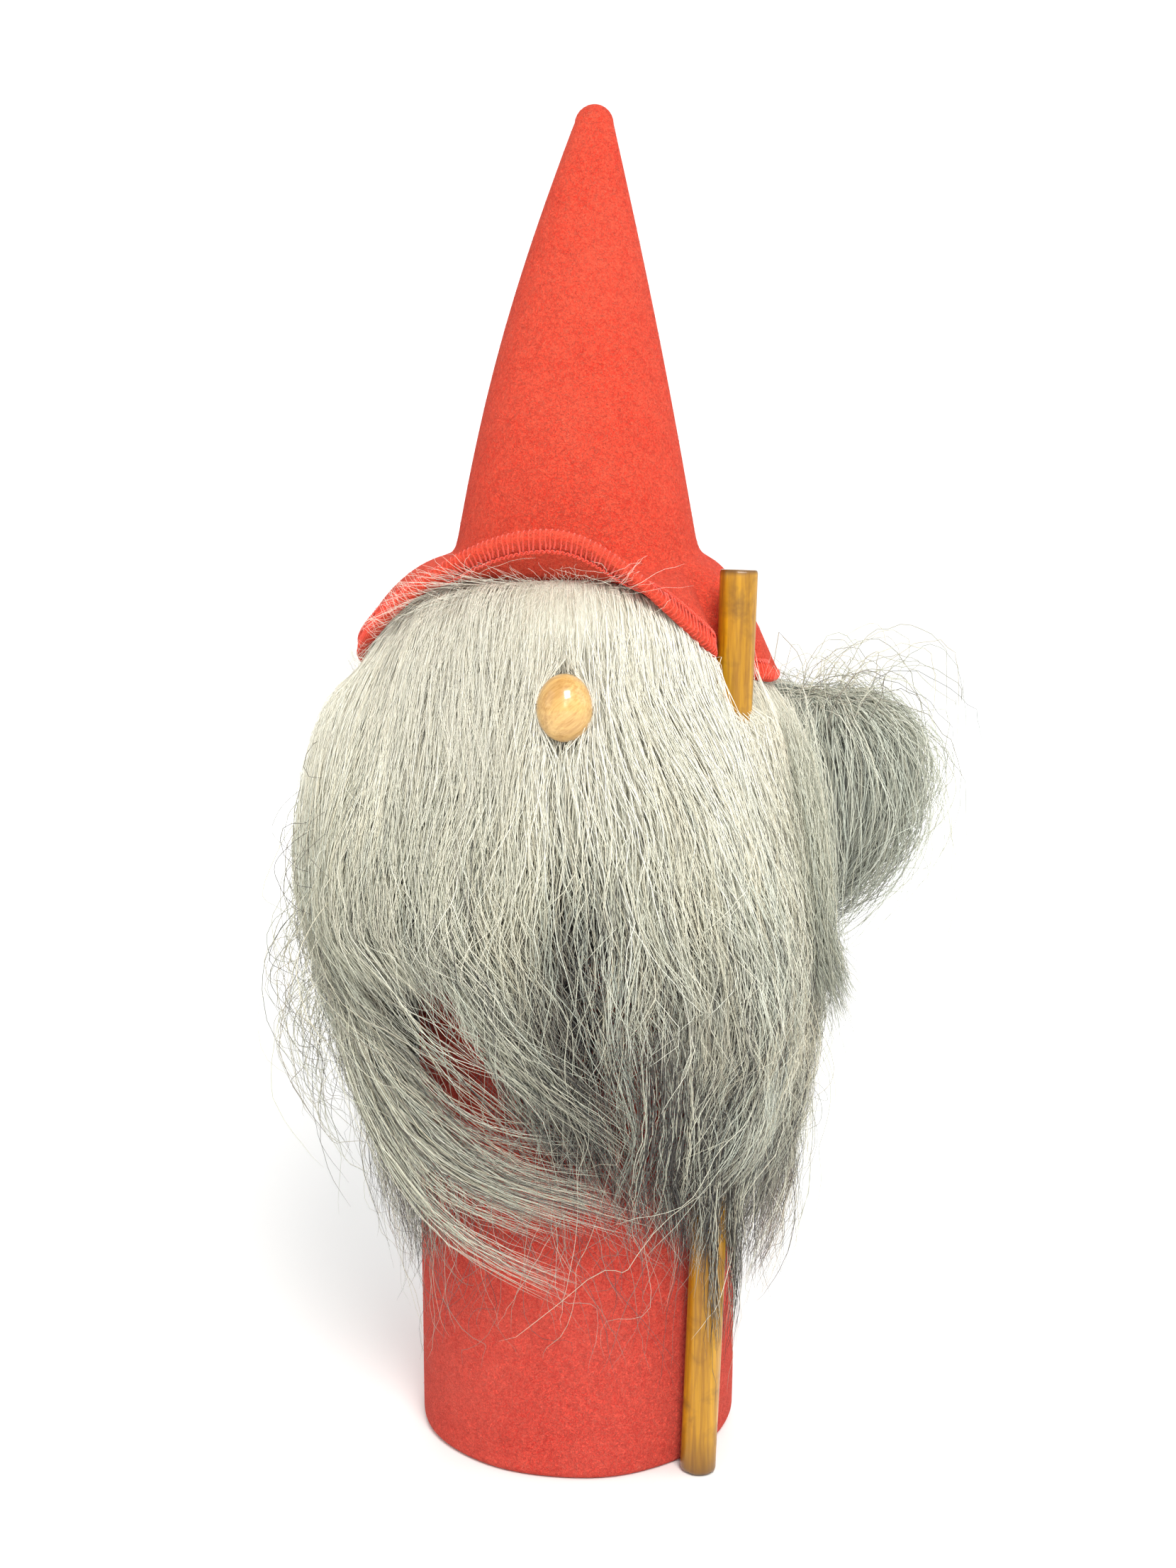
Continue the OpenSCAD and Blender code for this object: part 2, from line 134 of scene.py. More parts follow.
def add_bump(tree, shader, height, distance, strength=1.0):
    """Raises the surface by a height pattern."""
    bump = node(tree, "ShaderNodeBump", Strength=strength, Distance=distance, Height=height)
    tree.links.new(bump.outputs["Normal"], shader.inputs["Normal"])


def felt_effect():
    """Matted wool: soft cloudy patches, short curly fibres in a lighter and a deeper shade, and fuzz."""
    group, start, end = new_effect(
        "Matted wool",
        {"Deep": ("Color", paint(190, 40, 35)), "Mid": ("Color", paint(225, 60, 50)),
         "Bright": ("Color", paint(245, 90, 70)), "Patches": ("Float", 0.5), "Fibre Size": ("Float", 1.0)},
        {"Color": "Color", "Height": "Float"},
    )
    place = node(group, "ShaderNodeTexCoord").outputs["Object"]
    grown = node(group, "ShaderNodeVectorMath", _operation="SCALE", Scale=start.outputs["Fibre Size"])
    group.links.new(place, grown.inputs[0])
    spot = grown.outputs["Vector"]
    cloud = node(group, "ShaderNodeTexNoise", Vector=place, Scale=38.0, Detail=3.0, Roughness=0.6)
    fleck = node(group, "ShaderNodeTexNoise", Vector=spot, Scale=420.0, Detail=5.0, Roughness=0.68,
                 Distortion=1.6)
    fuzz = node(group, "ShaderNodeTexNoise", Vector=spot, Scale=1900.0, Detail=3.0, Roughness=0.7,
                Distortion=0.8)
    curl = node(group, "ShaderNodeTexNoise", Vector=spot, Scale=330.0, Detail=2.0, Distortion=5.5)
    away = reckon(group, "ABSOLUTE", reckon(group, "SUBTRACT", curl.outputs["Fac"], 0.5))
    fibre = node(group, "ShaderNodeMapRange", Value=away, From_Min=0.0, From_Max=0.035, To_Min=1.0,
                 To_Max=0.0)
    mixed = reckon(group, "MULTIPLY_ADD", fleck.outputs["Fac"], 0.62, fuzz.outputs["Fac"])
    tone = node(group, "ShaderNodeMapRange", Value=mixed, From_Min=0.7, From_Max=0.92)
    low = node(group, "ShaderNodeMix", _data_type="RGBA", Factor=tone.outputs["Result"],
               A=start.outputs["Deep"], B=start.outputs["Mid"])
    lift = reckon(group, "MULTIPLY", fibre.outputs["Result"], 0.55)
    high = node(group, "ShaderNodeMix", _data_type="RGBA", Factor=lift, A=low.outputs["Result"],
                B=start.outputs["Bright"])
    wide = node(group, "ShaderNodeMapRange", Value=cloud.outputs["Fac"], From_Min=0.35, From_Max=0.7)
    patch = reckon(group, "MULTIPLY", wide.outputs["Result"], start.outputs["Patches"])
    last = node(group, "ShaderNodeMix", _data_type="RGBA", Factor=patch, A=high.outputs["Result"],
                B=start.outputs["Bright"])
    group.links.new(last.outputs["Result"], end.inputs["Color"])
    relief = reckon(group, "MULTIPLY_ADD", fibre.outputs["Result"], 0.3, mixed)
    group.links.new(relief, end.inputs["Height"])
    return group


matted_wool = felt_effect()


def felt_finish(name, deep, mid, bright, patches=0.5):
    """Dull wool felt in three shades of its red."""
    made, tree, shader = new_finish(name, 0.92, Sheen_Weight=0.12, Sheen_Roughness=0.5,
                                    Specular_IOR_Level=0.15)
    shader.inputs["Sheen Tint"].default_value = paint(255, 170, 150)
    wool = use_effect(tree, matted_wool, Deep=deep, Mid=mid, Bright=bright, Patches=patches)
    tree.links.new(wool.outputs["Color"], shader.inputs["Base Color"])
    add_bump(tree, shader, wool.outputs["Height"], 0.0009)
    return made


sleeve_felt = felt_finish("Body red wool felt", paint(208, 54, 46), paint(240, 86, 70), paint(252, 132, 114),
                          patches=0.12)


def add_piece(name, points, faces, finish, body, slot, uv=None):
    """A smooth-shaded mesh piece; faces is a list of index arrays, one for each count of corners."""
    mesh = bpy.data.meshes.new(name)
    corners = np.concatenate([part.ravel() for part in faces])
    counts = np.concatenate([np.full(len(part), part.shape[1]) for part in faces])
    mesh.vertices.add(len(points))
    mesh.vertices.foreach_set("co", np.asarray(points, np.float32).ravel())
    mesh.loops.add(len(corners))
    mesh.loops.foreach_set("vertex_index", corners.astype(np.int32))
    mesh.polygons.add(len(counts))
    mesh.polygons.foreach_set("loop_start", (np.cumsum(counts) - counts).astype(np.int32))
    mesh.polygons.foreach_set("use_smooth", np.ones(len(counts), bool))
    mesh.update(calc_edges=True)
    if uv is not None:
        layer = mesh.uv_layers.new(name="OFBake")
        layer.data.foreach_set("uv", uv[corners].astype(np.float32).ravel())
    mesh.materials.append(finish)
    made = bpy.data.objects.new(name, mesh)
    bpy.context.scene.collection.objects.link(made)
    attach(made, body)
    return made


def skin(grid, looped=False, poles=False):
    """Points and faces that skin a grid [rows, columns, 3], joined round its columns."""
    rows, columns, _ = grid.shape
    points = grid.reshape(-1, 3)
    step = np.arange(columns)
    after = (step + 1) % columns
    last = rows if looped else rows - 1
    quads = []
    for row in range(last):
        here = row * columns
        there = ((row + 1) % rows) * columns
        quads.append(np.stack([here + step, here + after, there + after, there + step], 1))
    faces = [np.concatenate(quads)]
    if poles:
        ends = np.stack([grid[0].mean(0), grid[-1].mean(0)])
        first, second = len(points), len(points) + 1
        points = np.concatenate([points, ends])
        top = (rows - 1) * columns
        faces.append(np.concatenate([
            np.stack([after, step, np.full(columns, first)], 1),
            np.stack([top + step, top + after, np.full(columns, second)], 1),
        ]))
    return points, faces


def ripple(azimuth, height, waves):
    """A smooth uneven value round the figure: each wave is (size, turns, per metre, phase)."""
    total = 0
    for size, turns, rise, phase in waves:
        total = total + size * np.sin(turns * azimuth + rise * height + phase)
    return total


def ring_points(radius, turn, height):
    """Points [..., 3] at a radius, a turn in radians round the upright axis, and a height."""
    return np.stack(np.broadcast_arrays(radius * np.cos(turn), radius * np.sin(turn), height), -1)


body_low, body_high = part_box("body_felt")
body_r = (body_high.x - body_low.x) / 2
felt_t = 3 * MM
hem_r = 2.6 * MM
rim_round = 0.0008
set_back = 0.35 * MM
turn = np.linspace(0, 2 * math.pi, 256, endpoint=False)
sleeve_rows = []
for angle in np.radians(np.linspace(-90, 0, 9)):
    sleeve_rows.append((body_r - hem_r + hem_r * math.cos(angle), hem_r + hem_r * math.sin(angle)))
for share in np.linspace(0.02, 1, 60):
    sleeve_rows.append((body_r, hem_r + share * (body_high.z - rim_round - hem_r)))
sleeve_rows += [(body_r - rim_round, body_high.z), (body_r - felt_t, body_high.z), (body_r - felt_t, hem_r)]
sleeve_waves = [
    (0.35 * MM, 2, 21, 0.4), (0.22 * MM, 5, -33, 2.0), (0.15 * MM, 9, 60, 1.1), (0.12 * MM, 3, 95, 4.0),
]
bulge_z = 0.012
bulge_turn = 5.6
bulge_side = 0.9 * MM * np.exp(-((turn - bulge_turn) / 0.5) ** 2)
sleeve_grid = []
for radius, height in sleeve_rows:
    outside = radius > body_r - felt_t + 0.1 * MM
    front_share = 0.5 - 0.5 * np.sin(turn)
    uneven = ripple(turn, height, sleeve_waves) * front_share - set_back
    bulge = bulge_side * math.exp(-((height - bulge_z) / bulge_z) ** 2)
    sleeve_grid.append(ring_points(radius + (uneven + bulge if outside else 0), turn, height))
sleeve_grid = np.array(sleeve_grid)
sleeve = add_piece("felt_sleeve", *skin(sleeve_grid, looped=True), sleeve_felt, "body", "body_felt")
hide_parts("body_felt")
nodes["base_felt"].data.materials.clear()
nodes["base_felt"].data.materials.append(sleeve_felt)


def dress(name, finish):
    """Gives a CAD node its finish."""
    nodes[name].data.materials.clear()
    nodes[name].data.materials.append(finish)


# ---------------------------------------------------------------------------------------------
# Thread: two-ply wool thread in the felt's own red. It closes the sleeve and the crown at the back
# and sews the staff's strap, each stitch pulled tight.


def thread_finish(name, dark, light):
    """Dull twisted thread in two shades."""
    made, tree, shader = new_finish(name, 0.8, Sheen_Weight=0.3, Specular_IOR_Level=0.2)
    place = node(tree, "ShaderNodeTexCoord").outputs["Object"]
    strands = node(tree, "ShaderNodeTexNoise", Vector=place, Scale=2600.0, Detail=3.0, Distortion=1.0)
    tree.links.new(blend_stops(tree, strands.outputs["Fac"], [(0.35, dark), (0.65, light)]),
                   shader.inputs["Base Color"])
    add_bump(tree, shader, strands.outputs["Fac"], 0.0002)
    return made


seam_thread = thread_finish("Red wool thread", paint(186, 36, 32), paint(226, 66, 56))
for name in ("body_seam_thread", "hat_seam_thread", "loop_thread"):
    dress(name, seam_thread)

# ---------------------------------------------------------------------------------------------
# Core: a card tube closed by a hardboard disc below and a wooden disc on top, with a cotton bag of
# sand inside for weight, and a dowel that carries the foam head form.


def wood_effect():
    """Wood seen along the grain: long streaks, finer pores and slow changes of shade."""
    group, start, end = new_effect(
        "Wood grain",
        {"Pale": ("Color", paint(214, 176, 120)), "Dark": ("Color", paint(160, 110, 60)),
         "Stretch": ("Vector", (1.0, 1.0, 0.06)), "Turn": ("Vector", (0.0, 0.0, 0.0)),
         "Fineness": ("Float", 900.0)},
        {"Color": "Color", "Height": "Float"},
    )
    place = node(group, "ShaderNodeTexCoord").outputs["Object"]
    laid = node(group, "ShaderNodeMapping", Vector=place, Rotation=start.outputs["Turn"])
    drawn = node(group, "ShaderNodeVectorMath", _operation="MULTIPLY")
    group.links.new(laid.outputs["Vector"], drawn.inputs[0])
    group.links.new(start.outputs["Stretch"], drawn.inputs[1])
    streak = node(group, "ShaderNodeTexNoise", Vector=drawn.outputs["Vector"],
                  Scale=start.outputs["Fineness"], Detail=4.0, Roughness=0.62, Distortion=0.35)
    slow = node(group, "ShaderNodeTexNoise", Vector=drawn.outputs["Vector"], Scale=190.0, Detail=2.0)
    both = reckon(group, "MULTIPLY_ADD", slow.outputs["Fac"], 0.7, streak.outputs["Fac"])
    level = node(group, "ShaderNodeMapRange", Value=both, From_Min=0.62, From_Max=1.05)
    tint = node(group, "ShaderNodeMix", _data_type="RGBA", Factor=level.outputs["Result"],
                A=start.outputs["Dark"], B=start.outputs["Pale"])
    group.links.new(tint.outputs["Result"], end.inputs["Color"])
    group.links.new(streak.outputs["Fac"], end.inputs["Height"])
    return group


wood_grain = wood_effect()


def wood_finish(name, pale, dark, roughness, bump, stretch=(1.0, 1.0, 0.06), fineness=900.0, **sockets):
    """Wood with its grain along the upright axis, unless the stretch says otherwise."""
    made, tree, shader = new_finish(name, roughness, **sockets)
    grain = use_effect(tree, wood_grain, Pale=pale, Dark=dark, Stretch=stretch, Fineness=fineness)
    tree.links.new(grain.outputs["Color"], shader.inputs["Base Color"])
    add_bump(tree, shader, grain.outputs["Height"], bump)
    return made


def fibre_effect():
    """Loose or pressed fibres: board, card, leather and wadding."""
    group, start, end = new_effect(
        "Pressed fibres",
        {"Pale": ("Color", paint(180, 150, 110)), "Dark": ("Color", paint(120, 90, 60)),
         "Fineness": ("Float", 500.0), "Tangle": ("Float", 2.0)},
        {"Color": "Color", "Height": "Float"},
    )
    place = node(group, "ShaderNodeTexCoord").outputs["Object"]
    tangle = node(group, "ShaderNodeTexNoise", Vector=place, Scale=start.outputs["Fineness"], Detail=5.0,
                  Roughness=0.65, Distortion=start.outputs["Tangle"])
    level = node(group, "ShaderNodeMapRange", Value=tangle.outputs["Fac"], From_Min=0.32, From_Max=0.68)
    tint = node(group, "ShaderNodeMix", _data_type="RGBA", Factor=level.outputs["Result"],
                A=start.outputs["Dark"], B=start.outputs["Pale"])
    group.links.new(tint.outputs["Result"], end.inputs["Color"])
    group.links.new(tangle.outputs["Fac"], end.inputs["Height"])
    return group


pressed_fibres = fibre_effect()


def fibre_finish(name, pale, dark, roughness, fineness, tangle, bump):
    """Board, card, leather or wadding in two shades."""
    made, tree, shader = new_finish(name, roughness)
    fibres = use_effect(tree, pressed_fibres, Pale=pale, Dark=dark, Fineness=fineness, Tangle=tangle)
    tree.links.new(fibres.outputs["Color"], shader.inputs["Base Color"])
    add_bump(tree, shader, fibres.outputs["Height"], bump)
    return made


dress("base_disc", fibre_finish("Brown hardboard", paint(140, 98, 62), paint(96, 64, 40), 0.7, 700.0, 2.5,
                                0.0002))
dress("body_tube", fibre_finish("Grey-brown card", paint(182, 150, 112), paint(146, 116, 82), 0.85, 450.0,
                                3.0, 0.0002))
raw_wood = wood_finish("Raw birch", paint(222, 190, 142), paint(184, 146, 98), 0.65, 0.0001)
for name in ("tube_cap", "head_pin", "nose_peg"):
    dress(name, raw_wood)


def cotton_finish():
    """Plain-woven cotton cloth, with its warp and weft in relief."""
    made, tree, shader = new_finish("Unbleached cotton", 0.9)
    place = node(tree, "ShaderNodeTexCoord").outputs["Object"]
    warp = node(tree, "ShaderNodeTexWave", _bands_direction="Z", Vector=place, Scale=320.0, Distortion=0.6)
    weft = node(tree, "ShaderNodeTexWave", _bands_direction="DIAGONAL", Vector=place, Scale=320.0,
                Distortion=0.6)
    cross = reckon(tree, "MULTIPLY", warp.outputs["Fac"], weft.outputs["Fac"])
    shade = blend_stops(tree, cross, [(0.0, paint(186, 172, 142)), (0.8, paint(222, 212, 186))])
    tree.links.new(shade, shader.inputs["Base Color"])
    add_bump(tree, shader, cross, 0.0003)
    return made


dress("ballast_bag", cotton_finish())


def foam_finish():
    """White foam of small beads pressed together."""
    made, tree, shader = new_finish("White foamed beads", 0.6)
    place = node(tree, "ShaderNodeTexCoord").outputs["Object"]
    beads = node(tree, "ShaderNodeTexVoronoi", Vector=place, Scale=380.0)
    shade = blend_stops(tree, beads.outputs["Distance"], [
        (0.1, paint(238, 238, 236)), (0.8, paint(206, 206, 204))])
    tree.links.new(shade, shader.inputs["Base Color"])
    add_bump(tree, shader, beads.outputs["Distance"], 0.0004, strength=-1.0)
    return made


dress("head_form", foam_finish())

# ---------------------------------------------------------------------------------------------
# Hide: a strip of tanned goatskin, hair side out, glued round the top of the sleeve and the head
# form. Its lower edge was cut by eye, and runs higher at the front left.
hide_leather = fibre_finish("Tanned goatskin", paint(206, 186, 160), paint(158, 132, 104), 0.75, 320.0, 1.5,
                            0.0004)
hide_low, hide_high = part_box("hair_hide")
hide_out = (hide_high.x - hide_low.x) / 2
hide_t = 1.2 * MM
shoulder_z = 198.3 * MM
hide_top_r = 31.6 * MM


def hide_radius(height):
    """Outer radius of the hide, or of the sleeve below it, in metres."""
    return np.interp(height, [0.112, 0.1195, shoulder_z, hide_high.z],
                     [body_r + 0.0003, hide_out, hide_out, hide_top_r])


cut_edge = hide_low.z + 25 * MM * np.exp(-((turn - math.radians(255)) / 1.05) ** 4) \
    + 1.2 * MM * (1 + ripple(turn, 0, [(0.5, 13, 0, 0.3), (0.5, 21, 0, 1.9)]))
hide_rows = []
for share in np.linspace(0, 1, 24):
    height = cut_edge + share * (hide_high.z - 0.0002 - cut_edge)
    hide_rows.append((hide_radius(height) - 0.05 * MM, height))
for share in np.linspace(1, 0, 24):
    height = cut_edge + share * (hide_high.z - 0.0002 - cut_edge)
    hide_rows.append((hide_radius(height) - hide_t + 0.05 * MM, height))
hide_grid = np.stack([ring_points(radius, turn, height) for radius, height in hide_rows])
hide = add_piece("goat_hide", *skin(hide_grid, looped=True), hide_leather, "body", "hide")
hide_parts("hair_hide")
dress("staff_loop", hide_leather)

# ---------------------------------------------------------------------------------------------
# Hair: long goat hair that grows on the hide, creamy white at the roots and grey to black towards
# the tips. It falls over the sleeve in locks, parted under the nose, and is swept to the side below,
# where it has also come apart at the front left and right, so that the felt shows. The lower hair,
# the parting, the sides and the hairs deep in the fur are also darkened with painted shade.


def hair_finish():
    """Each hair carries its shade and its warmth in its own map, so the colour runs along the hair."""
    made, tree, shader = new_finish("Grey goat hair", 0.42, Specular_IOR_Level=0.4, Sheen_Weight=0.1)
    shades = node(tree, "ShaderNodeUVMap", _uv_map="OFBake")
    split = node(tree, "ShaderNodeSeparateXYZ", Vector=shades.outputs["UV"])
    cool = blend_stops(tree, split.outputs["Y"], [
        (0.0, paint(244, 243, 233)), (0.25, paint(224, 227, 214)), (0.45, paint(194, 201, 187)),
        (0.62, paint(140, 146, 138)), (0.8, paint(76, 78, 78)), (1.0, paint(22, 21, 23))])
    warm = blend_stops(tree, split.outputs["Y"], [
        (0.0, paint(250, 244, 226)), (0.25, paint(236, 228, 204)), (0.45, paint(210, 202, 176)),
        (0.62, paint(156, 144, 124)), (0.8, paint(88, 78, 70)), (1.0, paint(28, 23, 22))])
    tint = node(tree, "ShaderNodeMix", _data_type="RGBA", Factor=split.outputs["X"], A=cool, B=warm)
    tree.links.new(tint.outputs["Result"], shader.inputs["Base Color"])
    return made


goat_hair = hair_finish()
chance = np.random.default_rng(31)


def tubes(paths, radii, sides):
    """Points and faces of closed tubes that all have the same number of points along them."""
    count, length, _ = paths.shape
    along = np.gradient(paths, axis=1)
    along /= np.linalg.norm(along, axis=2, keepdims=True) + 1e-12
    aside = np.cross(along[:, 0], [0.31, 0.17, 0.94])
    rings = np.empty((count, length, sides, 3))
    around = np.arange(sides) * 2 * math.pi / sides
    cosine, sine = np.cos(around)[None, :, None], np.sin(around)[None, :, None]
    for place in range(length):
        forward = along[:, place]
        aside = aside - (aside * forward).sum(1, keepdims=True) * forward
        aside /= np.linalg.norm(aside, axis=1, keepdims=True) + 1e-12
        upward = np.cross(forward, aside)
        spread = cosine * aside[:, None] + sine * upward[:, None]
        rings[:, place] = paths[:, place, None] + radii[:, place, None, None] * spread
    step = np.arange(sides)
    after = (step + 1) % sides
    quads = []
    for place in range(length - 1):
        here = place * sides
        quads.append(np.stack([here + step, here + after, here + sides + after, here + sides + step], 1))
    quads = np.concatenate(quads)
    caps = np.stack([step[::-1], (length - 1) * sides + step])
    first = (np.arange(count) * length * sides)[:, None, None]
    return rings.reshape(-1, 3), [(quads + first).reshape(-1, 4), (caps + first).reshape(-1, sides)]


def smooth_step(value, low, high):
    """Rises smoothly from 0 at the low value to 1 at the high value."""
    share = np.clip((value - low) / (high - low), 0, 1)
    return share * share * (3 - 2 * share)


def wrap(angle):
    """The same angle in degrees, between -180 and 180."""
    return (angle + 180) % 360 - 180


def evenly(corners, count=80):
    """A rounded profile line through (radius, height) corners in millimetres, at even steps."""
    corners = np.array(corners, float)
    for _ in range(3):
        cut = np.empty((2 * len(corners) - 2, 2))
        cut[0::2] = 0.75 * corners[:-1] + 0.25 * corners[1:]
        cut[1::2] = 0.25 * corners[:-1] + 0.75 * corners[1:]
        corners = np.concatenate([corners[:1], cut, corners[-1:]])
    travelled = np.concatenate([[0], np.cumsum(np.linalg.norm(np.diff(corners, axis=0), axis=1))])
    share = np.linspace(0, travelled[-1], count)
    return np.stack([np.interp(share, travelled, line) for line in corners.T], 1)


fur_outlines = {
    -90: [(33, 237.5), (40, 240), (46, 242), (50.5, 241.8), (55, 237), (58.5, 228), (60.5, 212), (62, 190),
          (63.5, 165), (62, 140), (58, 115), (53, 93), (49, 68)],
    180: [(33, 236), (45, 238), (50.5, 231), (54.5, 222.5), (56, 217), (62, 212), (66, 209.5), (71, 197),
          (75, 183), (79, 158), (76, 138), (68, 116), (60, 95), (54, 74), (49, 48)],
    90: [(33, 236), (45, 238), (50.5, 231), (54, 222), (56, 215), (62, 205), (67, 190), (70, 165),
         (68, 135), (64, 110), (59, 88), (55, 70), (52, 55)],
    0: [(33, 236), (45, 234), (50, 222), (52, 211), (58, 204), (63, 190), (67, 165), (68, 130),
        (66, 100), (60, 70), (53, 42)],
}
fur_profiles = np.array([evenly(corners) for corners in fur_outlines.values()])
fur_facing = list(fur_outlines)


def fur_surface(azimuth, share):
    """Radius and height in millimetres of the hair's outer surface, by azimuth and share of the way down."""
    place = np.clip(share, 0, 1) * (fur_profiles.shape[1] - 1)
    low = np.minimum(place.astype(int), fur_profiles.shape[1] - 2)
    part = (place - low)[..., None]
    total = 0
    for facing, profile in zip(fur_facing, fur_profiles):
        weight = np.maximum(0, np.cos(np.radians(azimuth - facing))) ** 2
        total = total + weight[..., None] * (profile[low] * (1 - part) + profile[low + 1] * part)
    lifted = 8 * np.exp(-(wrap(azimuth + 138) / 20) ** 2 - ((share - 0.15) / 0.08) ** 2)
    return total[..., 0], total[..., 1] + lifted


sweep_heights = np.array([240, 215, 200, 180, 150, 125, 100, 80, 50])
sweep_table = {
    -180: (0, 0, 0, 0, 0, 2, 10, 28, 36),
    -163: (0, 0, 0, -1, -2, 7, 34, 54, 60),
    -150: (0, 0, -1, -2, -3, 10, 38, 57, 62),
    -125: (0, 0, -1, -3, -4, 8, 30, 45, 50),
    -105: (0, 0, -2, -4, -5, 0, 17, 28, 32),
    -95: (0, 0, -3, -5, -6, -3, 8, 17, 20),
    -88: (0, 0, 2, 5, 9, 14, 17, 13, 6),
    -75: (0, 2, 9, 18, 28, 33, 28, 18, 8),
    -60: (0, 2, 11, 21, 29, 31, 23, 12, 4),
    -45: (0, 1, 5, 13, 19, 20, 13, 4, -4),
    -25: (0, 0, 2, 6, 9, 7, 1, -7, -13),
    0: (0, 0, 0, 2, 3, 2, -4, -11, -15),
    40: (0, 0, 0, 0, 0, 0, -2, -4, -4),
    90: (0, 0, 0, 1, 2, 0, 2, 4, 4),
    140: (0, 0, 0, -1, -2, 0, 4, 6, 6),
    180: (0, 0, 0, 0, 0, 2, 10, 28, 36),
}
sweep_azimuths = np.array(list(sweep_table), float)
sweep_values = np.array(list(sweep_table.values()), float)


def sweep(azimuth, height):
    """How far in degrees the hair has swung to the side on its way down."""
    levels = np.stack([np.interp(wrap(azimuth), sweep_azimuths, column) for column in sweep_values.T], -1)
    total = 0
    for level in range(len(sweep_heights) - 1):
        high, low = sweep_heights[level], sweep_heights[level + 1]
        share = np.clip((high - height) / (high - low), 0, 1)
        total = total + (levels[:, level + 1] - levels[:, level])[:, None] * share
    return total + levels[:, :1]


staff_foot = np.array([33.0, -37.96, 0.2])
staff_way = np.array([0.0349074, 0.0163169, 0.9992573])
staff_r = 5.0
staff_azimuth = -41
inside_staff_r = 46.8
nose_centre = np.array([-2.7, -60.0, 211.8])
nose_half = np.array([7.15, 7.5, 8.4])
crown_r = 31.8
brim_edge_r = 56.2
brim_low_z = 214.0
brim_rise = 39.3
crown_z = 246.0


def brim_shape(azimuth):
    """Edge height, edge radius, fold height and roundness of the hat's middle surface in millimetres."""
    off_front = wrap(azimuth + 97)
    width = np.where(off_front < 0, 56, 40)
    edge_z = brim_low_z + brim_rise * np.exp(-(off_front / width) ** 2)
    plain_r = brim_edge_r - 2.2 * np.cos(np.radians(azimuth))
    notch = (plain_r - 45.4) * np.exp(-(wrap(azimuth + 40) / 8) ** 2)
    fold_z = crown_z - 6 * np.exp(-(off_front / 56) ** 2)
    roundness = 1.4 + 0.5 * np.exp(-(off_front / 60) ** 2) + 0.9 * np.exp(-(wrap(azimuth + 4) / 26) ** 2)
    return edge_z, plain_r - notch, fold_z, roundness


def clear_neighbours(points, room):
    """Moves hair points off the hide, the staff, the nose and the brim, in millimetres, with room to spare.

    Under the brim the hair keeps inside the staff, until it is well to one side of it.
    """
    x, y, z = points[..., 0], points[..., 1], points[..., 2]
    radius = np.hypot(x, y)
    azimuth = np.degrees(np.arctan2(y, x))
    beside_staff = 80 * smooth_step(np.abs(wrap(azimuth - staff_azimuth)), 6, 14)
    below_brim = 60 * (1 - smooth_step(z, 202, 209))
    radius = np.minimum(radius, inside_staff_r + np.maximum(beside_staff, below_brim))
    radius = np.maximum(radius, hide_radius(z * MM) / MM + room)
    edge_z, edge_r, fold_z, roundness = brim_shape(azimuth)
    across = np.clip((radius + 1.3 - crown_r) / (edge_r - crown_r), 0, 1)
    under = edge_z + (fold_z - edge_z) * np.cos(np.arcsin(across)) ** roundness - 1.8
    covered = radius < edge_r + 2.5
    points = ring_points(radius, np.radians(azimuth), np.where(covered & (z > under), under, z))
    half = nose_half + np.array([0.25, 0.25, -0.8])
    off = (points - nose_centre) / half
    reach = np.maximum(0, 1 - off[..., 1] ** 2 - off[..., 2] ** 2)
    inside = (off ** 2).sum(-1) < 1
    sign = np.where(off[..., 0] < 0, -1, 1)
    points[..., 0] = np.where(inside, nose_centre[0] + sign * half[0] * np.sqrt(reach), points[..., 0])
    from_foot = points - staff_foot
    outward = from_foot - (from_foot @ staff_way)[..., None] * staff_way
    distance = np.linalg.norm(outward, axis=-1) + 1e-9
    limit = staff_r + room
    push = np.where(distance < limit, limit - distance, 0)
    return points + outward / distance[..., None] * push[..., None]


hair_room = 0.55
hair_fall = 190
even_steps = [0, 0.18, 0.42, 1]
hair_steps = [0, 0.13, 0.46, 1]


def hair_paths(azimuth, depth, start, end, slant, wobble, length):
    """Free-hanging paths [hairs, points, 3] in millimetres, before they are drawn into locks."""
    down = np.interp(np.linspace(0, 1, length), even_steps, hair_steps)[None]
    share = start[:, None] + (end - start)[:, None] * down
    radius, height = fur_surface(azimuth[:, None] + 0 * share, share)
    swept = sweep(azimuth, height) * (1 - 0.75 * depth[:, None])
    turned = azimuth[:, None] + swept + slant[:, None] * (share - 0.25)
    radius, height = fur_surface(turned, share)
    skin_r = hide_radius(height * MM) / MM + 0.4
    risen = smooth_step(share - start[:, None], 0, 0.12)
    inner = depth[:, None] * risen + (1 - risen) * np.where(start[:, None] > 0.02, 1.0, depth[:, None])
    puff = ripple(np.radians(turned), height, [
        (1.1, 5, 0.045, 0.7), (0.9, 9, -0.06, 2.4), (0.7, 15, 0.03, 4.1)])
    radius = radius + (skin_r - radius) * inner + puff * (1 - inner) * risen
    travelled = share * hair_fall
    for size, per_mm, phase, radial in wobble:
        grows = 0.4 * smooth_step(down, 0.02, 0.2) + 1.1 * smooth_step(share, 0.25, 0.7)
        wave = per_mm[:, None] * travelled
        aside = size[:, None] * np.sin(wave + phase[:, None])
        turned = turned + np.degrees(aside / np.maximum(radius, 30)) * grows
        radius = radius + radial * size[:, None] * np.cos(wave + 2.1 * phase[:, None]) * grows
    return ring_points(radius, np.radians(turned), height)


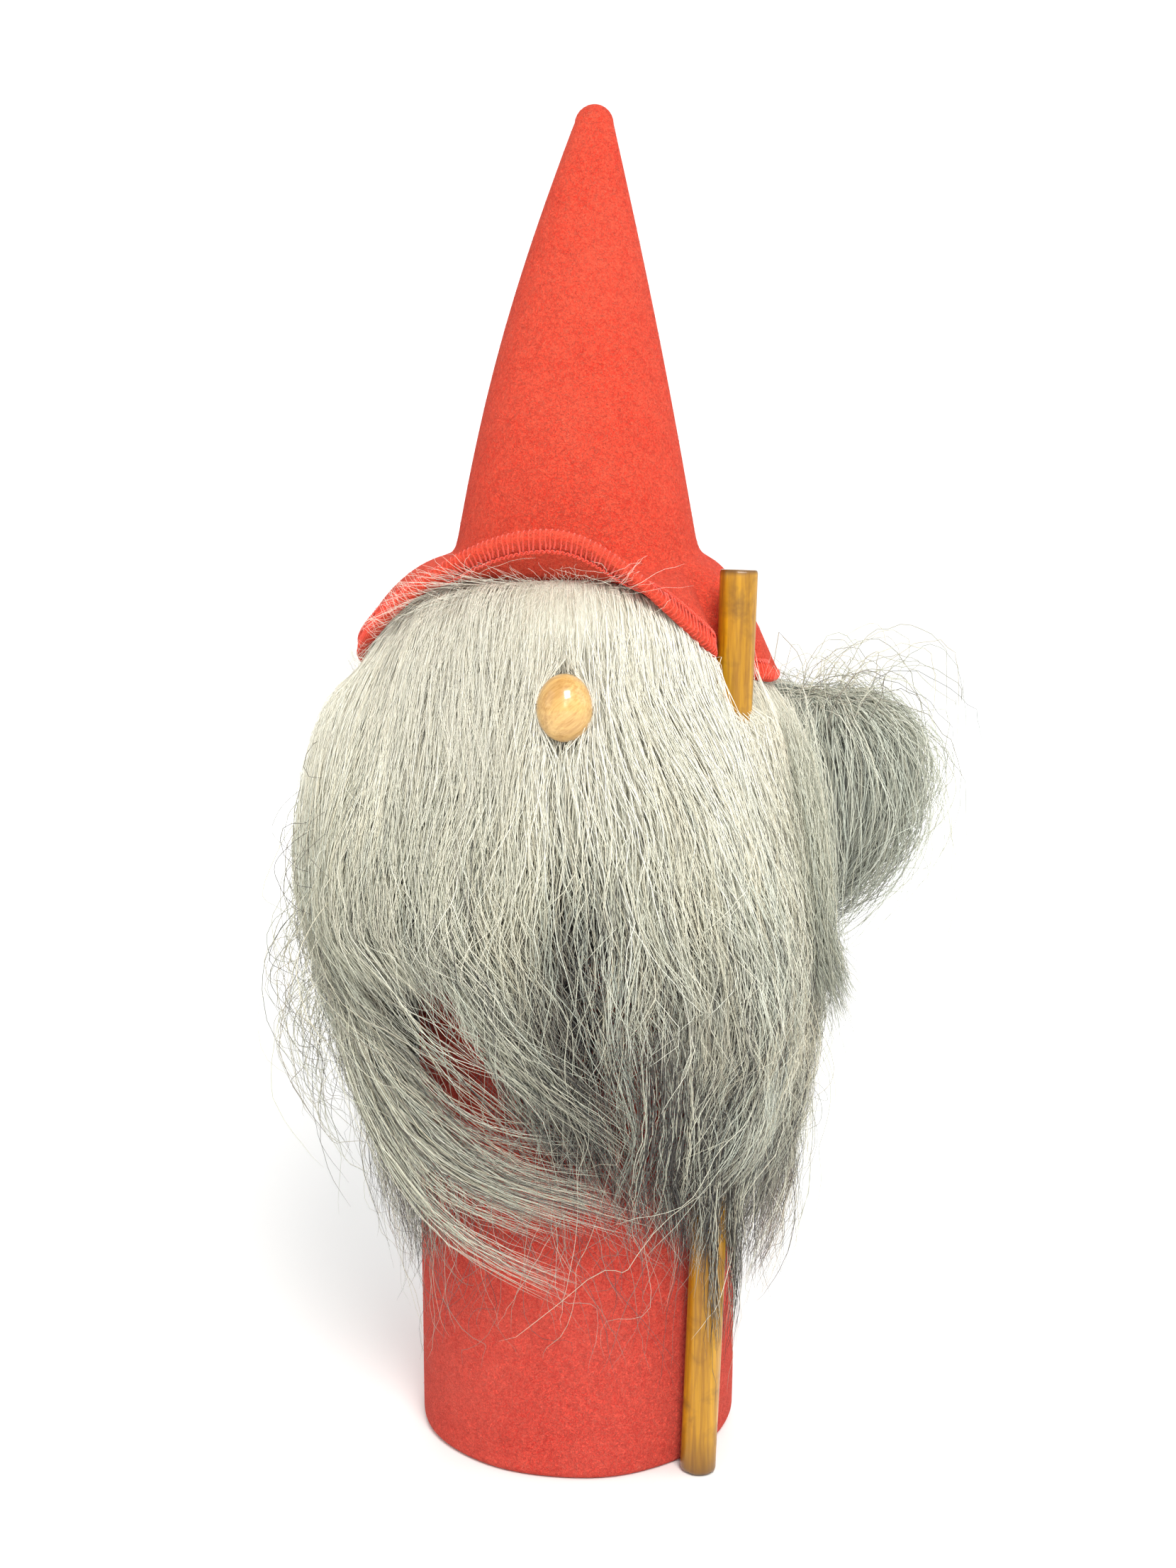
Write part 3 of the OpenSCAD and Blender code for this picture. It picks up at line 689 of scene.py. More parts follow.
def base_shade(azimuth, height):
    """How dark the outer hair is, from 0 for white to 1 for black, by where it hangs: partly the hair's own
    grey lower down and partly painted shade, with painted shade in the parting and at the sides and back.
    """
    # Darker lower down: partly the hair's own grey, partly painted shade in the gaps between the locks.
    shade = np.interp(-height, [-240, -215, -195, -170, -150, -125, -100, -80, -50],
                      [0.03, 0.04, 0.08, 0.17, 0.23, 0.27, 0.3, 0.34, 0.4])
    middle = np.exp(-(wrap(azimuth + 92) / 9) ** 2)
    low_right = np.exp(-(wrap(azimuth + 58) / 16) ** 2)
    sides = 1 - np.exp(-(wrap(azimuth + 90) / 62) ** 2)
    # Painted shade in the parting under the nose: the middle hair is darkened.
    shade = shade + 0.26 * middle * smooth_step(-height, -185, -145)
    shade = shade + 0.16 * low_right * smooth_step(-height, -125, -90)
    # Painted shade at the sides and the back, away from the front.
    return shade + 0.08 * sides * smooth_step(-height, -215, -170)


region_bounds = {
    "beard_left": (-148, -90, 1150, 2, 900), "beard_right": (-90, -62, 1250, 1, 600),
    "hair_over_staff": (-62, -27, 1250, 1, 700), "hair_right": (-27, 35, 1250, 1, 800),
    "hair_back_right": (35, 90, 1300, 1, 900), "hair_back_left": (90, 145, 1300, 1, 900),
    "hair_left": (145, 212, 900, 2, 900),
}


def bare_share(points):
    """Share of the long hair that has come apart: a slanting band at the left and a spot at the right."""
    x, y, height = points[..., 0], points[..., 1], points[..., 2]
    band = np.interp(height, [82, 104, 142], [-10, -29, -47])
    left_band = (np.abs(x - band) < 12) & (height > 84) & (height < 141) & (y < 0)
    right_spot = (np.abs(x - 24) < 8) & (height > 94) & (height < 116) & (y < 0)
    return 0.93 * left_band + 0.6 * right_spot


def read_between(paths, row, place):
    """Points of the paths in those rows, at places that may lie between two points."""
    before = np.minimum(place.astype(int), paths.shape[1] - 2)
    part = (place - before)[..., None]
    return paths[row, before] * (1 - part) + paths[row, before + 1] * part


def cut_short(paths, at_point):
    """The same hairs, each ended at its own point along it."""
    place = np.linspace(0, 1, paths.shape[1])[None] * at_point[:, None]
    return read_between(paths, np.arange(len(paths))[:, None], place)


def soft_kinks(shape, size):
    """Small random bends along each hair, softened between neighbouring points."""
    kink = chance.normal(0, 1, shape) * size
    kink[:, 1:-1] = 0.5 * kink[:, 1:-1] + 0.25 * (kink[:, :-2] + kink[:, 2:])
    return kink


def grow_region(low, high, count, length, under):
    """Paths, thickness, shade and warmth of one region's hairs; under hairs lie close to the hide."""
    lock_count = max(8, int((high - low) * (0.7 if under else 1.2)))
    lock_azimuth = chance.uniform(low, high, lock_count)
    if under:
        lock_depth = chance.uniform(0.45, 0.9, lock_count)
        at_back = np.exp(-(wrap(lock_azimuth - 90) / 62) ** 4)
        lock_end = chance.uniform(0.5, 0.66, lock_count) + 0.24 * at_back * chance.uniform(0, 1, lock_count)
        lock_end += 0.3 * np.exp(-(wrap(lock_azimuth + 94) / 8) ** 2) * chance.uniform(0.3, 1, lock_count)
    else:
        lock_depth = chance.uniform(0, 1, lock_count) ** 1.5 * 0.5
        lock_end = 1.03 - 0.45 * chance.uniform(0, 1, lock_count) ** 1.2
    lock_end = np.minimum(lock_end, 1)
    short_front = np.exp(-(wrap(lock_azimuth + 122) / 38) ** 4) + np.exp(-(wrap(lock_azimuth + 60) / 15) ** 4)
    lock_end = np.minimum(lock_end, 1 - (0.1 + chance.uniform(-0.07, 0.05, lock_count)) * short_front)
    lock_size = chance.uniform(1.0, 3.6, lock_count)
    lock_rate = 2 * math.pi / chance.uniform(36, 75, lock_count)
    lock_phase = chance.uniform(0, 2 * math.pi, lock_count)
    lock_pull = chance.uniform(0.3, 0.85, lock_count)
    lock_tone = chance.normal(0, 0.045, lock_count)
    lock_warmth = np.clip(chance.normal(0.42, 0.16, lock_count), 0.05, 0.95)
    lock_slant = chance.normal(0, 8, lock_count)
    guides = hair_paths(lock_azimuth, lock_depth, np.zeros(lock_count), lock_end, lock_slant,
                        [(lock_size, lock_rate, lock_phase, 0.5)], length)
    own = chance.integers(0, lock_count, count)
    azimuth = lock_azimuth[own] + chance.normal(0, 3.6, count)
    depth = np.clip(lock_depth[own] + chance.normal(0, 0.1, count), 0, 0.97)
    lower_root = chance.uniform(0, 1, count) < 0.3
    start = np.where(lower_root, chance.uniform(0.05, 0.42, count), chance.uniform(0, 0.012, count))
    end = np.clip(lock_end[own] + chance.normal(0, 0.05, count), start + 0.2, 1.0)
    stray = chance.uniform(0, 1, count) < 0.12
    small = chance.uniform(0.4, 1.6, count) * np.where(stray, 2.4, 1)
    rate = 2 * math.pi / chance.uniform(17, 40, count)
    phase = chance.uniform(0, 2 * math.pi, count)
    wobble = [(lock_size[own], lock_rate[own], lock_phase[own], 0.5), (small, rate, phase, 0.7)]
    slant = lock_slant[own] + chance.normal(0, 11, count) * np.where(stray, 1.8, 1)
    paths = hair_paths(azimuth, depth, start, end, slant, wobble, length)
    steps = np.linspace(0, 1, length)
    guide_share = start[:, None] + (end - start)[:, None] * np.interp(steps, even_steps, hair_steps)[None]
    guide_share = np.clip(guide_share / lock_end[own][:, None], 0, 1)
    place = np.interp(guide_share, hair_steps, even_steps) * (length - 1)
    drawn = read_between(guides, own[:, None], place)
    down = steps[None, :, None]
    held = (lock_pull[own] * np.where(stray, 0.1, 1))[:, None, None]
    paths = paths + (drawn - paths) * held * smooth_step(down, 0.2, 0.95)
    kink = soft_kinks((count, length, 3), np.array([0.42, 0.42, 0.12]))
    splay = chance.normal(0, 1, (count, 1, 3)) * np.array([2.8, 2.2, 1.8]) * smooth_step(down, 0.6, 1.15)
    curl_r = chance.uniform(0.5, 3.5, count)[:, None] * smooth_step(down[..., 0], 0.68, 1.0)
    curl_start = chance.uniform(0, 2 * math.pi, count)[:, None]
    curl_way = curl_start + down[..., 0] * chance.uniform(4, 11, count)[:, None]
    paths = paths + splay + kink * smooth_step(down, 0.0, 0.5) * (1.3 + 1.2 * down)
    paths[..., 0] += curl_r * np.cos(curl_way)
    paths[..., 1] += 0.5 * curl_r * np.sin(curl_way)
    bare = chance.uniform(0, 1, (count, 1)) < bare_share(paths)
    ends_at = np.where(bare.any(1), bare.argmax(1) + chance.uniform(-0.6, 0.9, count), length - 1)
    paths = cut_short(paths, np.clip(ends_at, 0.4 * length, length - 1))
    paths = clear_neighbours(paths, hair_room)
    thick = chance.uniform(0.08, 0.145, count) * np.where(stray, 0.75, 1) * (1.3 if under else 1)
    taper = np.interp(steps, [0, 0.2, 0.5, 0.9, 1], [0.5, 0.65, 1, 0.65, 0.2])
    radii = thick[:, None] * taper[None]
    height = paths[..., 2]
    angle = np.degrees(np.arctan2(paths[..., 1], paths[..., 0]))
    # Painted shade: hairs that lie deeper in the fur are darkened, the under hairs most, for the shade inside
    # it.
    depth_shadow = depth[:, None] * (0.22 + (0.8 if under else 0.55) * smooth_step(-height, -215, -140))
    shade = base_shade(angle, height) + depth_shadow + (lock_tone[own] + chance.normal(0, 0.045, count))[:, None]
    odd = chance.uniform(0, 1, count)
    darker = np.where(odd < 0.045, 0.36, np.where(odd > 0.93, -0.08, 0))[:, None]
    shade += darker * smooth_step(-height, -236, -190)
    mottled = np.where(odd < 0.26, 0.26, -0.08)[:, None] + 1.6 * lock_tone[own][:, None]
    shade += mottled * smooth_step(-height, -185, -110)
    warmth = np.clip(lock_warmth[own] + chance.normal(0, 0.12, count), 0.03, 0.97)
    return paths, radii, shade, warmth


def hair_piece(name, paths, radii, shade, warmth):
    """One piece of hair mesh, with each hair's shade and warmth in its map."""
    points, faces = tubes(paths * MM, radii * MM, 3)
    step = 0.004 * np.arange(shade.shape[1])[None]
    shade = np.clip(np.maximum.accumulate(shade, axis=1), 0.02, 0.9) + step
    count, length = shade.shape
    uv = np.empty((count, length, 3, 2))
    uv[..., 0] = warmth[:, None, None] + 0.006 * np.array([-1, 0, 1])
    uv[..., 1] = shade[..., None]
    uv[:, 0, 1, 1] += 0.003
    uv[:, -1, 1, 1] += 0.004
    return add_piece(name, points, faces, goat_hair, "body", "hair", uv=uv.reshape(-1, 2))


outer_points = 26
under_points = 13
share_of_hairs = 1.0
for region, (low, high, count, pieces, under_count) in region_bounds.items():
    under_piece = hair_piece(f"{region}_under", *grow_region(
        low, high, int(under_count * share_of_hairs), under_points, True))
    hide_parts(region)
    for number in range(pieces):
        grown = grow_region(low, high, int(count * share_of_hairs), outer_points, False)
        hair_piece(f"{region}_{number + 1}", *grown)

# ---------------------------------------------------------------------------------------------
# Undercoat: the short dense wool under the long hair, which hides the hide between the locks. It is
# pale above and greyer towards its lower edge, where it runs out: partly the wool's own grey and
# partly painted shade in the gaps between the locks.


def undercoat_finish(name, stops, top, bottom):
    """Dense wool whose colour goes through the stops from the top height to the bottom height."""
    made, tree, shader = new_finish(name, 0.85, Specular_IOR_Level=0.15)
    place = node(tree, "ShaderNodeTexCoord").outputs["Object"]
    drawn = node(tree, "ShaderNodeMapping", Vector=place, Scale=(1.0, 1.0, 0.07))
    strands = node(tree, "ShaderNodeTexNoise", Vector=drawn.outputs["Vector"], Scale=1500.0, Detail=4.0,
                   Roughness=0.7, Distortion=0.3)
    height = node(tree, "ShaderNodeSeparateXYZ", Vector=place)
    level = node(tree, "ShaderNodeMapRange", Value=height.outputs["Z"], From_Min=top, From_Max=bottom)
    shade = reckon(tree, "MULTIPLY_ADD", strands.outputs["Fac"], -0.8, level.outputs["Result"])
    tone = node(tree, "ShaderNodeMapRange", Value=shade, From_Min=-0.55, From_Max=0.7)
    colour = blend_stops(tree, tone.outputs["Result"], stops)
    tree.links.new(colour, shader.inputs["Base Color"])
    add_bump(tree, shader, strands.outputs["Fac"], 0.0006)
    return made


# Painted shade: the undercoat darkens downwards for the shade deep between the locks, on top of its own grey.
pale_undercoat = undercoat_finish("Pale undercoat", [
    (0.0, paint(250, 247, 234)), (0.5, paint(214, 214, 200)), (0.78, paint(128, 130, 122)),
    (1.0, paint(56, 56, 54))], 0.228, 0.13)
under_rows = []
under_azimuth = np.linspace(0, 360, 180, endpoint=False)
under_turn = np.radians(under_azimuth)
under_end = 0.56 - 0.12 * np.exp(-(wrap(under_azimuth + 105) / 60) ** 4)
under_end -= 0.04 * np.exp(-(wrap(under_azimuth + 88) / 9) ** 2)
under_end += ripple(under_turn, 0, [(0.012, 11, 0, 0.4), (0.01, 17, 0, 2.1), (0.008, 29, 0, 4.0)])
for share in np.linspace(0, 1, 40):
    outer_r, outer_z = fur_surface(under_azimuth, share * under_end)
    base_r = hide_radius(outer_z * MM) / MM + 0.3
    filled = (0.84 - 0.36 * smooth_step(share, 0.35, 0.65)) * smooth_step(share, -0.05, 0.1)
    filled *= 1 - smooth_step(share, 0.7, 1.0)
    radius = base_r + np.maximum(outer_r - base_r, 0) * filled
    under_rows.append(clear_neighbours(ring_points(radius, under_turn, outer_z), 0.25))
inner_top_z = 233.6
for share in np.linspace(1, 0, 12):
    outer_r, outer_z = fur_surface(under_azimuth, share * under_end)
    base_r = hide_radius(outer_z * MM) / MM + 0.1
    under_rows.append(ring_points(base_r, under_turn, np.minimum(outer_z, inner_top_z)))
add_piece("hair_undercoat", *skin(np.array(under_rows) * MM, looped=True), pale_undercoat, "body", "hair")

# ---------------------------------------------------------------------------------------------
# Side tuft: a puffed grey lock that springs out under the brim behind the staff and curls back on
# itself, with loose loops above it.


loose_points = 20


def curved(corners, count):
    """Points along cubic curves whose four corners are arrays [hairs, 3]."""
    share = np.linspace(0, 1, count)[None, :, None]
    rest = 1 - share
    first, second, third, last = (corner[:, None] for corner in corners)
    return (rest ** 3 * first + 3 * rest ** 2 * share * second + 3 * rest * share ** 2 * third
            + share ** 3 * last)


def taper_of(places, sizes):
    """Share of its full thickness that a loose hair has at each of its points."""
    return np.interp(np.linspace(0, 1, loose_points), places, sizes)


def draw_warmth(mean, spread, count):
    """How warm each hair's colour is, from 0 for cool to 1 for warm."""
    return np.clip(chance.normal(mean, spread, count), 0.03, 0.97)


def loose_looks(count, girth, taper, tone, warmth, rise=0):
    """Thickness, shade and warmth of loose hairs, whose shade changes by the rise towards the tip."""
    thick = chance.uniform(*girth, count)[:, None] * taper[None]
    shade = tone[0] + chance.normal(0, tone[1], (count, 1)) + rise * np.linspace(0, 1, len(taper))[None]
    return thick, shade, draw_warmth(*warmth, count)


tuft_top = np.array([69.0, 6.0, 206.0])
tuft_end = np.array([65.0, 5.0, 150.0])
tuft_half = np.array([31.36, 18.0])
tuft_root = (48, 5, 203)
long_taper = taper_of([0, 0.15, 0.6, 0.9, 1], [0.75, 1, 1, 0.65, 0.2])


def grow_tuft(count, loose):
    """Hairs that come out of the brim and go over and down round the tuft; loose ones stand off in loops."""
    shell = chance.uniform(0.35, 1, count) ** 0.5 * (1 + 0.3 * loose)
    facing = np.radians(chance.uniform(-150, 120, count))[:, None]
    steps = np.linspace(0, 1, loose_points)[None]
    down = smooth_step(steps, 0.1, 1.0)
    bulge = np.sin(np.pi * np.clip((steps - 0.1) / 0.9, 0, 1)) ** 0.85 * shell[:, None]
    reach = chance.uniform(0.75, 1.08, count)[:, None]
    stretch = chance.normal(1, 0.08 + 0.1 * loose, count)[:, None]
    fall = tuft_end - tuft_top
    x = tuft_top[0] + fall[0] * down + tuft_half[0] * bulge * np.cos(facing + 0.5 * steps)
    y = tuft_top[1] + fall[1] * down + tuft_half[1] * bulge * np.sin(facing + 0.5 * steps)
    z = tuft_top[2] + 3.5 * bulge * (1 - steps) + fall[2] * down * reach * stretch
    paths = np.stack([x, y, z], -1) + chance.normal(0, 1.6, (count, 1, 3))
    root = np.stack([middle + chance.normal(0, spread, count)
                     for middle, spread in zip(tuft_root, (1.5, 6, 5))], 1)
    grown = smooth_step(steps, 0.0, 0.2)[..., None]
    paths = root[:, None] * (1 - grown) + paths * grown
    kink = soft_kinks(paths.shape, 0.5 + 0.3 * loose)
    rate = chance.uniform(5, 15, count)[:, None]
    phase = chance.uniform(0, 2 * math.pi, count)[:, None]
    size = (chance.uniform(0.5, 2.2, count) * (1 + 2.4 * loose))[:, None] * smooth_step(steps, 0.05, 0.4)
    paths[..., 0] += size * np.sin(rate * steps + phase)
    paths[..., 1] += size * np.cos(0.8 * rate * steps + 2 * phase)
    paths[..., 2] += size * np.sin(1.2 * rate * steps + 3 * phase)
    paths = clear_neighbours(paths + kink, hair_room)
    thick = chance.uniform(0.075, 0.13, count)[:, None] * long_taper[None]
    # Painted shade and light: hairs near the tuft's core are darkened, and the loose hairs that stand off are
    # lightened.
    inside = 0.14 * (1 - shell)[:, None]
    shade = 0.42 + chance.normal(0, 0.09, (count, 1)) + 0.04 * steps + inside - 0.06 * loose
    return paths, thick, shade, draw_warmth(0.2, 0.14, count)


tuft = hair_piece("side_tuft_1", *grow_tuft(int(1650 * share_of_hairs), 0))
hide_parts("side_tuft")
core_columns = 60
core_turn = np.linspace(0, 2 * math.pi, core_columns, endpoint=False)
core_centre = np.array([70.0, 6.0, 179.0])
core_half = np.array([20.0, 16.0, 22.0])
core_rows = []
for angle in np.linspace(4, 176, 34):
    uneven = ripple(core_turn, angle, [(0.03, 3, 0.07, 1.0), (0.02, 7, 0.11, 2.0)])
    wide = math.sin(math.radians(angle)) * (0.72 + uneven)
    core_rows.append(core_centre + core_half * ring_points(wide, core_turn, math.cos(math.radians(angle))))
grey_undercoat = undercoat_finish("Grey undercoat", [
    (0.0, paint(196, 198, 194)), (0.5, paint(158, 160, 158)), (1.0, paint(100, 101, 102))], 0.25, 0.1)
add_piece("side_tuft_core", *skin(np.array(core_rows)[::-1] * MM, poles=True), grey_undercoat, "body", "hair")
hair_piece("side_tuft_loops", *grow_tuft(260, 0.6))

loop_count = 90
outermost_x = 111
loop_root = np.array([68.0, 5.0, 203.0]) + chance.normal(0, 1, (loop_count, 3)) * [9.0, 7.0, 3.0]
loop_over = np.stack([chance.normal(4, 11, loop_count), chance.normal(0, 6, loop_count),
                      chance.uniform(6, 36, loop_count)], 1)
loop_out = np.stack([chance.uniform(4, 46, loop_count), chance.normal(0, 8, loop_count),
                     chance.uniform(-22, 30, loop_count)], 1)
loop_end = np.stack([chance.uniform(-4, 42, loop_count), chance.normal(0, 9, loop_count),
                     chance.uniform(-56, 6, loop_count)], 1)
loop_corners = (loop_root, loop_root + loop_over, loop_root + loop_out, loop_root + loop_end)
loop_paths = curved(loop_corners, loose_points)
loop_paths += chance.normal(0, 0.35, loop_paths.shape)
loop_limit = outermost_x - chance.uniform(0, 6, (loop_count, 1))
loop_paths[..., 0] = np.minimum(loop_paths[..., 0], loop_limit)
loop_paths = clear_neighbours(loop_paths, hair_room)
hair_piece("side_tuft_flyaways", loop_paths, *loose_looks(
    loop_count, (0.1, 0.16), taper_of([0, 0.5, 1], [1, 0.9, 0.35]), (0.46, 0.09), (0.4, 0.15)))

# ---------------------------------------------------------------------------------------------
# Loose locks: one that flicks out at the right under the staff's top, dark ragged ends that hang
# before the staff, and hair from the left that is swept across the sleeve below the open place.
flick_count = int(420 * share_of_hairs) + 1
flick_spread = chance.normal(0, 1, (flick_count, 3))
flick_corners = (
    np.array([55.0, -24.0, 199.0]) + flick_spread * [3.0, 4.0, 6.0],
    np.array([64.0, -27.0, 176.0]) + flick_spread * [3.2, 4.0, 5.0],
    np.array([60.0, -26.0, 152.0]) + flick_spread * [3.6, 3.0, 5.0],
    np.array([71.5, -22.0, 130.0]) + chance.normal(0, 1, (flick_count, 3)) * [2.6, 1.8, 7.0],
)
flick_paths = curved(flick_corners, loose_points)
flick_paths = clear_neighbours(flick_paths + chance.normal(0, 0.4, flick_paths.shape), hair_room)
lock_taper = taper_of([0, 0.5, 0.9, 1], [0.7, 1, 0.6, 0.2])
hair_piece("flicked_lock", flick_paths, *loose_looks(
    flick_count, (0.08, 0.14), lock_taper, (0.24, 0.06), (0.3, 0.15), rise=0.22))


def wavy_piece(name, corners, own, swing, tones, dark_share):
    """Makes one piece of loose hairs, with a wave that each lock shares, clear of the neighbours."""
    paths = curved(corners, loose_points)
    count = len(paths)
    locks = own.max() + 1
    steps = np.linspace(0, 1, loose_points)[None]
    size = (chance.uniform(0.15, 1, locks)[own] * swing + chance.uniform(0, 0.7, count))[:, None]
    phase = (chance.uniform(0, 2 * math.pi, locks)[own] + chance.normal(0, 0.35, count))[:, None]
    paths[..., 0] += size * np.sin(9 * steps + phase) * steps
    paths[..., 1] += 0.5 * size * np.cos(8 * steps + phase) * steps
    paths[..., 2] += 0.5 * size * np.cos(9 * steps + phase) * steps
    paths = clear_neighbours(paths + chance.normal(0, 0.3, paths.shape), hair_room)
    dark = chance.uniform(0, 1, (count, 1)) < dark_share
    shade = np.where(dark, tones[1], tones[0]) + chance.normal(0, 0.07, (count, 1)) + 0.1 * steps
    thick = chance.uniform(0.075, 0.13, count)[:, None] * lock_taper[None]
    hair_piece(name, paths, thick, shade, draw_warmth(0.45, 0.2, count))


ragged_locks = 11
ragged_top = 128
ragged_count = int(400 * share_of_hairs) + 1
ragged_own = chance.integers(0, ragged_locks, ragged_count)
ragged_turn = np.linspace(-72, -36, ragged_locks)[ragged_own] + chance.normal(0, 1.0, ragged_count)
ragged_low = chance.uniform(34, 80, ragged_locks)[ragged_own] + chance.normal(0, 6, ragged_count)
ragged_drift = chance.normal(0.02, 0.06, ragged_locks)[ragged_own] + chance.normal(0, 0.03, ragged_count)
ragged_corners = []
for share, radius in ((0, 58), (0.35, 60), (0.7, 57), (1, 55)):
    ragged_corners.append(ring_points(radius + chance.normal(0, 0.7, ragged_count),
                                      np.radians(ragged_turn) + ragged_drift * share,
                                      ragged_top + (ragged_low - ragged_top) * share))
wavy_piece("ragged_locks", ragged_corners, ragged_own, 2.6, (0.34, 0.76), 0.6)

swept_locks = 14
swept_count = int(400 * share_of_hairs) + 1
swept_own = chance.integers(0, swept_locks, swept_count)
swept_shift = chance.normal(0, 1, (swept_locks, 3))[swept_own] + chance.normal(0, 0.35, (swept_count, 3))
swept_reach = chance.uniform(0.55, 1.1, swept_locks)[swept_own] + chance.normal(0, 0.06, swept_count)
swept_low = np.array([-41.0, -54.0, 91.0]) + swept_shift * [2.5, 1.5, 4.0]
swept_across = np.array([46.0, -5.0, -10.0]) + swept_shift * [4.0, 1.0, 3.0]
swept_corners = (
    np.array([-62.0, -20.0, 148.0]) + swept_shift * [2.0, 5.0, 5.0],
    np.array([-60.0, -36.0, 113.0]) + swept_shift * [2.0, 4.0, 4.5],
    swept_low,
    swept_low + swept_across * swept_reach[:, None],
)
wavy_piece("swept_locks", swept_corners, swept_own, 3.2, (0.25, 0.62), 0.33)

# ---------------------------------------------------------------------------------------------
# Stray hairs: single long hairs that stand off the sides and the back, and thinner curly ones that
# hang over the sleeve below the beard and the back hair.


stray_room = 0.6
lowest_stray = 14
sleeve_clear_r = 47


def grow_strays(count, azimuths, heights, stand, drop, girth, tone):
    """Loose hairs between two azimuths and two heights that leave the hair and wander out and down."""
    turned = np.radians(chance.uniform(*azimuths, count))
    height = chance.uniform(*heights, count)
    root_share = np.interp(-height, [-236, -60], [0.0, 1.0])
    radius, _ = fur_surface(np.degrees(turned), root_share)
    radius = radius - 5
    out = chance.uniform(0.2, 1, count) * stand
    turn_out = chance.normal(0, 0.17, count)
    fall = chance.uniform(0.25, 1, count) * drop
    corners = (
        ring_points(radius, turned, height),
        ring_points(radius + out * 1.1, turned + turn_out * 0.5, height - 0.2 * fall),
        ring_points(radius + out * 1.2, turned + turn_out * 1.6, height - 0.7 * fall),
        ring_points(np.maximum(radius + out * 0.2, sleeve_clear_r), turned + turn_out * 2.4, height - fall),
    )
    paths = curved(corners, loose_points)
    down = np.linspace(0, 1, loose_points)[None]
    rate = chance.uniform(5, 13, count)[:, None]
    phase = chance.uniform(0, 2 * math.pi, count)[:, None]
    size = (0.5 + 4.2 * chance.uniform(0, 1, count) ** 2)[:, None] * smooth_step(down, 0.1, 0.7)
    paths[..., 0] += size * np.sin(rate * down + phase)
    paths[..., 1] += size * np.cos(rate * down + 2 * phase)
    paths[..., 2] += 0.8 * size * np.sin(1.3 * rate * down + 3 * phase)
    paths += chance.normal(0, 0.18, paths.shape) * down[..., None]
    paths[..., 2] = np.maximum(paths[..., 2], lowest_stray)
    paths = clear_neighbours(paths, stray_room)
    looks = loose_looks(count, (0.6 * girth, 1.1 * girth), long_taper, (tone, 0.14), (0.5, 0.2), rise=0.05)
    return paths, *looks


stray_sets = [
    (300, (150, 212), (120, 214), 20, 60, 0.11, 0.46), (180, (-40, 35), (80, 190), 13, 55, 0.1, 0.46),
    (170, (35, 145), (100, 200), 12, 60, 0.1, 0.46), (260, (-152, -35), (78, 118), 5, 56, 0.065, 0.6),
    (240, (35, 215), (66, 112), 8, 45, 0.08, 0.5),
]
for number, values in enumerate(stray_sets):
    hair_piece(f"stray_hairs_{number + 1}", *grow_strays(*values))

# ---------------------------------------------------------------------------------------------
# Brow: short soft hair that lies criss-cross over the roots of the long hair, and a few wisps of it
# that curl up over the edge of the brim.
brow_points = 9
brow_hairs = 1700
nose_clear = 8.8


def sideways(turn):
    """Level directions along the round, one for each turn in radians."""
    return np.stack([-np.sin(turn), np.cos(turn), 0 * turn], 1)


brow_azimuth = np.where(chance.uniform(0, 1, brow_hairs) < 0.8, chance.normal(-95, 40, brow_hairs),
                        chance.uniform(-180, 180, brow_hairs))
brow_azimuth = np.where(np.abs(wrap(brow_azimuth + 52)) < 25, brow_azimuth - 56, brow_azimuth)
brow_share = 0.02 + 0.24 * chance.uniform(0, 1, brow_hairs) ** 1.5
brow_r, brow_z = fur_surface(brow_azimuth, brow_share)
below_r, below_z = fur_surface(brow_azimuth, brow_share + 0.06)
brow_turn = np.radians(brow_azimuth)
brow_out = ring_points(1, brow_turn, 0.45)
brow_aside = sideways(brow_turn)
brow_root = ring_points(brow_r, brow_turn, brow_z) - brow_out * 1.2
brow_down = ring_points(below_r - brow_r, brow_turn, below_z - brow_z)
brow_down /= np.linalg.norm(brow_down, axis=1, keepdims=True)
brow_reach = chance.uniform(10, 36, brow_hairs)[:, None]
brow_way = brow_down + brow_aside * chance.normal(0, 0.2, brow_hairs)[:, None]
brow_lift = brow_out * chance.uniform(0.02, 1.6, brow_hairs)[:, None] / brow_reach ** 0.9
brow_bend = brow_aside * chance.normal(0, 0.14, brow_hairs)[:, None]
brow_corners = (
    brow_root,
    brow_root + (brow_lift + 0.33 * brow_way) * brow_reach,
    brow_root + (brow_lift + brow_bend + 0.66 * brow_way) * brow_reach,
    brow_root + (0.7 * brow_lift + brow_bend + brow_way) * brow_reach,
)
brow_paths = curved(brow_corners, brow_points)
brow_paths += chance.normal(0, 0.18, brow_paths.shape) * np.linspace(0, 1, brow_points)[None, :, None]
brow_paths = clear_neighbours(brow_paths, stray_room)
from_nose = np.hypot(brow_paths[..., 0] - nose_centre[0], brow_paths[..., 2] - nose_centre[2])
brow_paths = brow_paths[from_nose.min(axis=1) > nose_clear]
hair_piece("brow_fuzz", brow_paths, *loose_looks(
    len(brow_paths), (0.045, 0.075), np.linspace(1, 0.35, brow_points), (0.07, 0.05), (0.5, 0.2)))

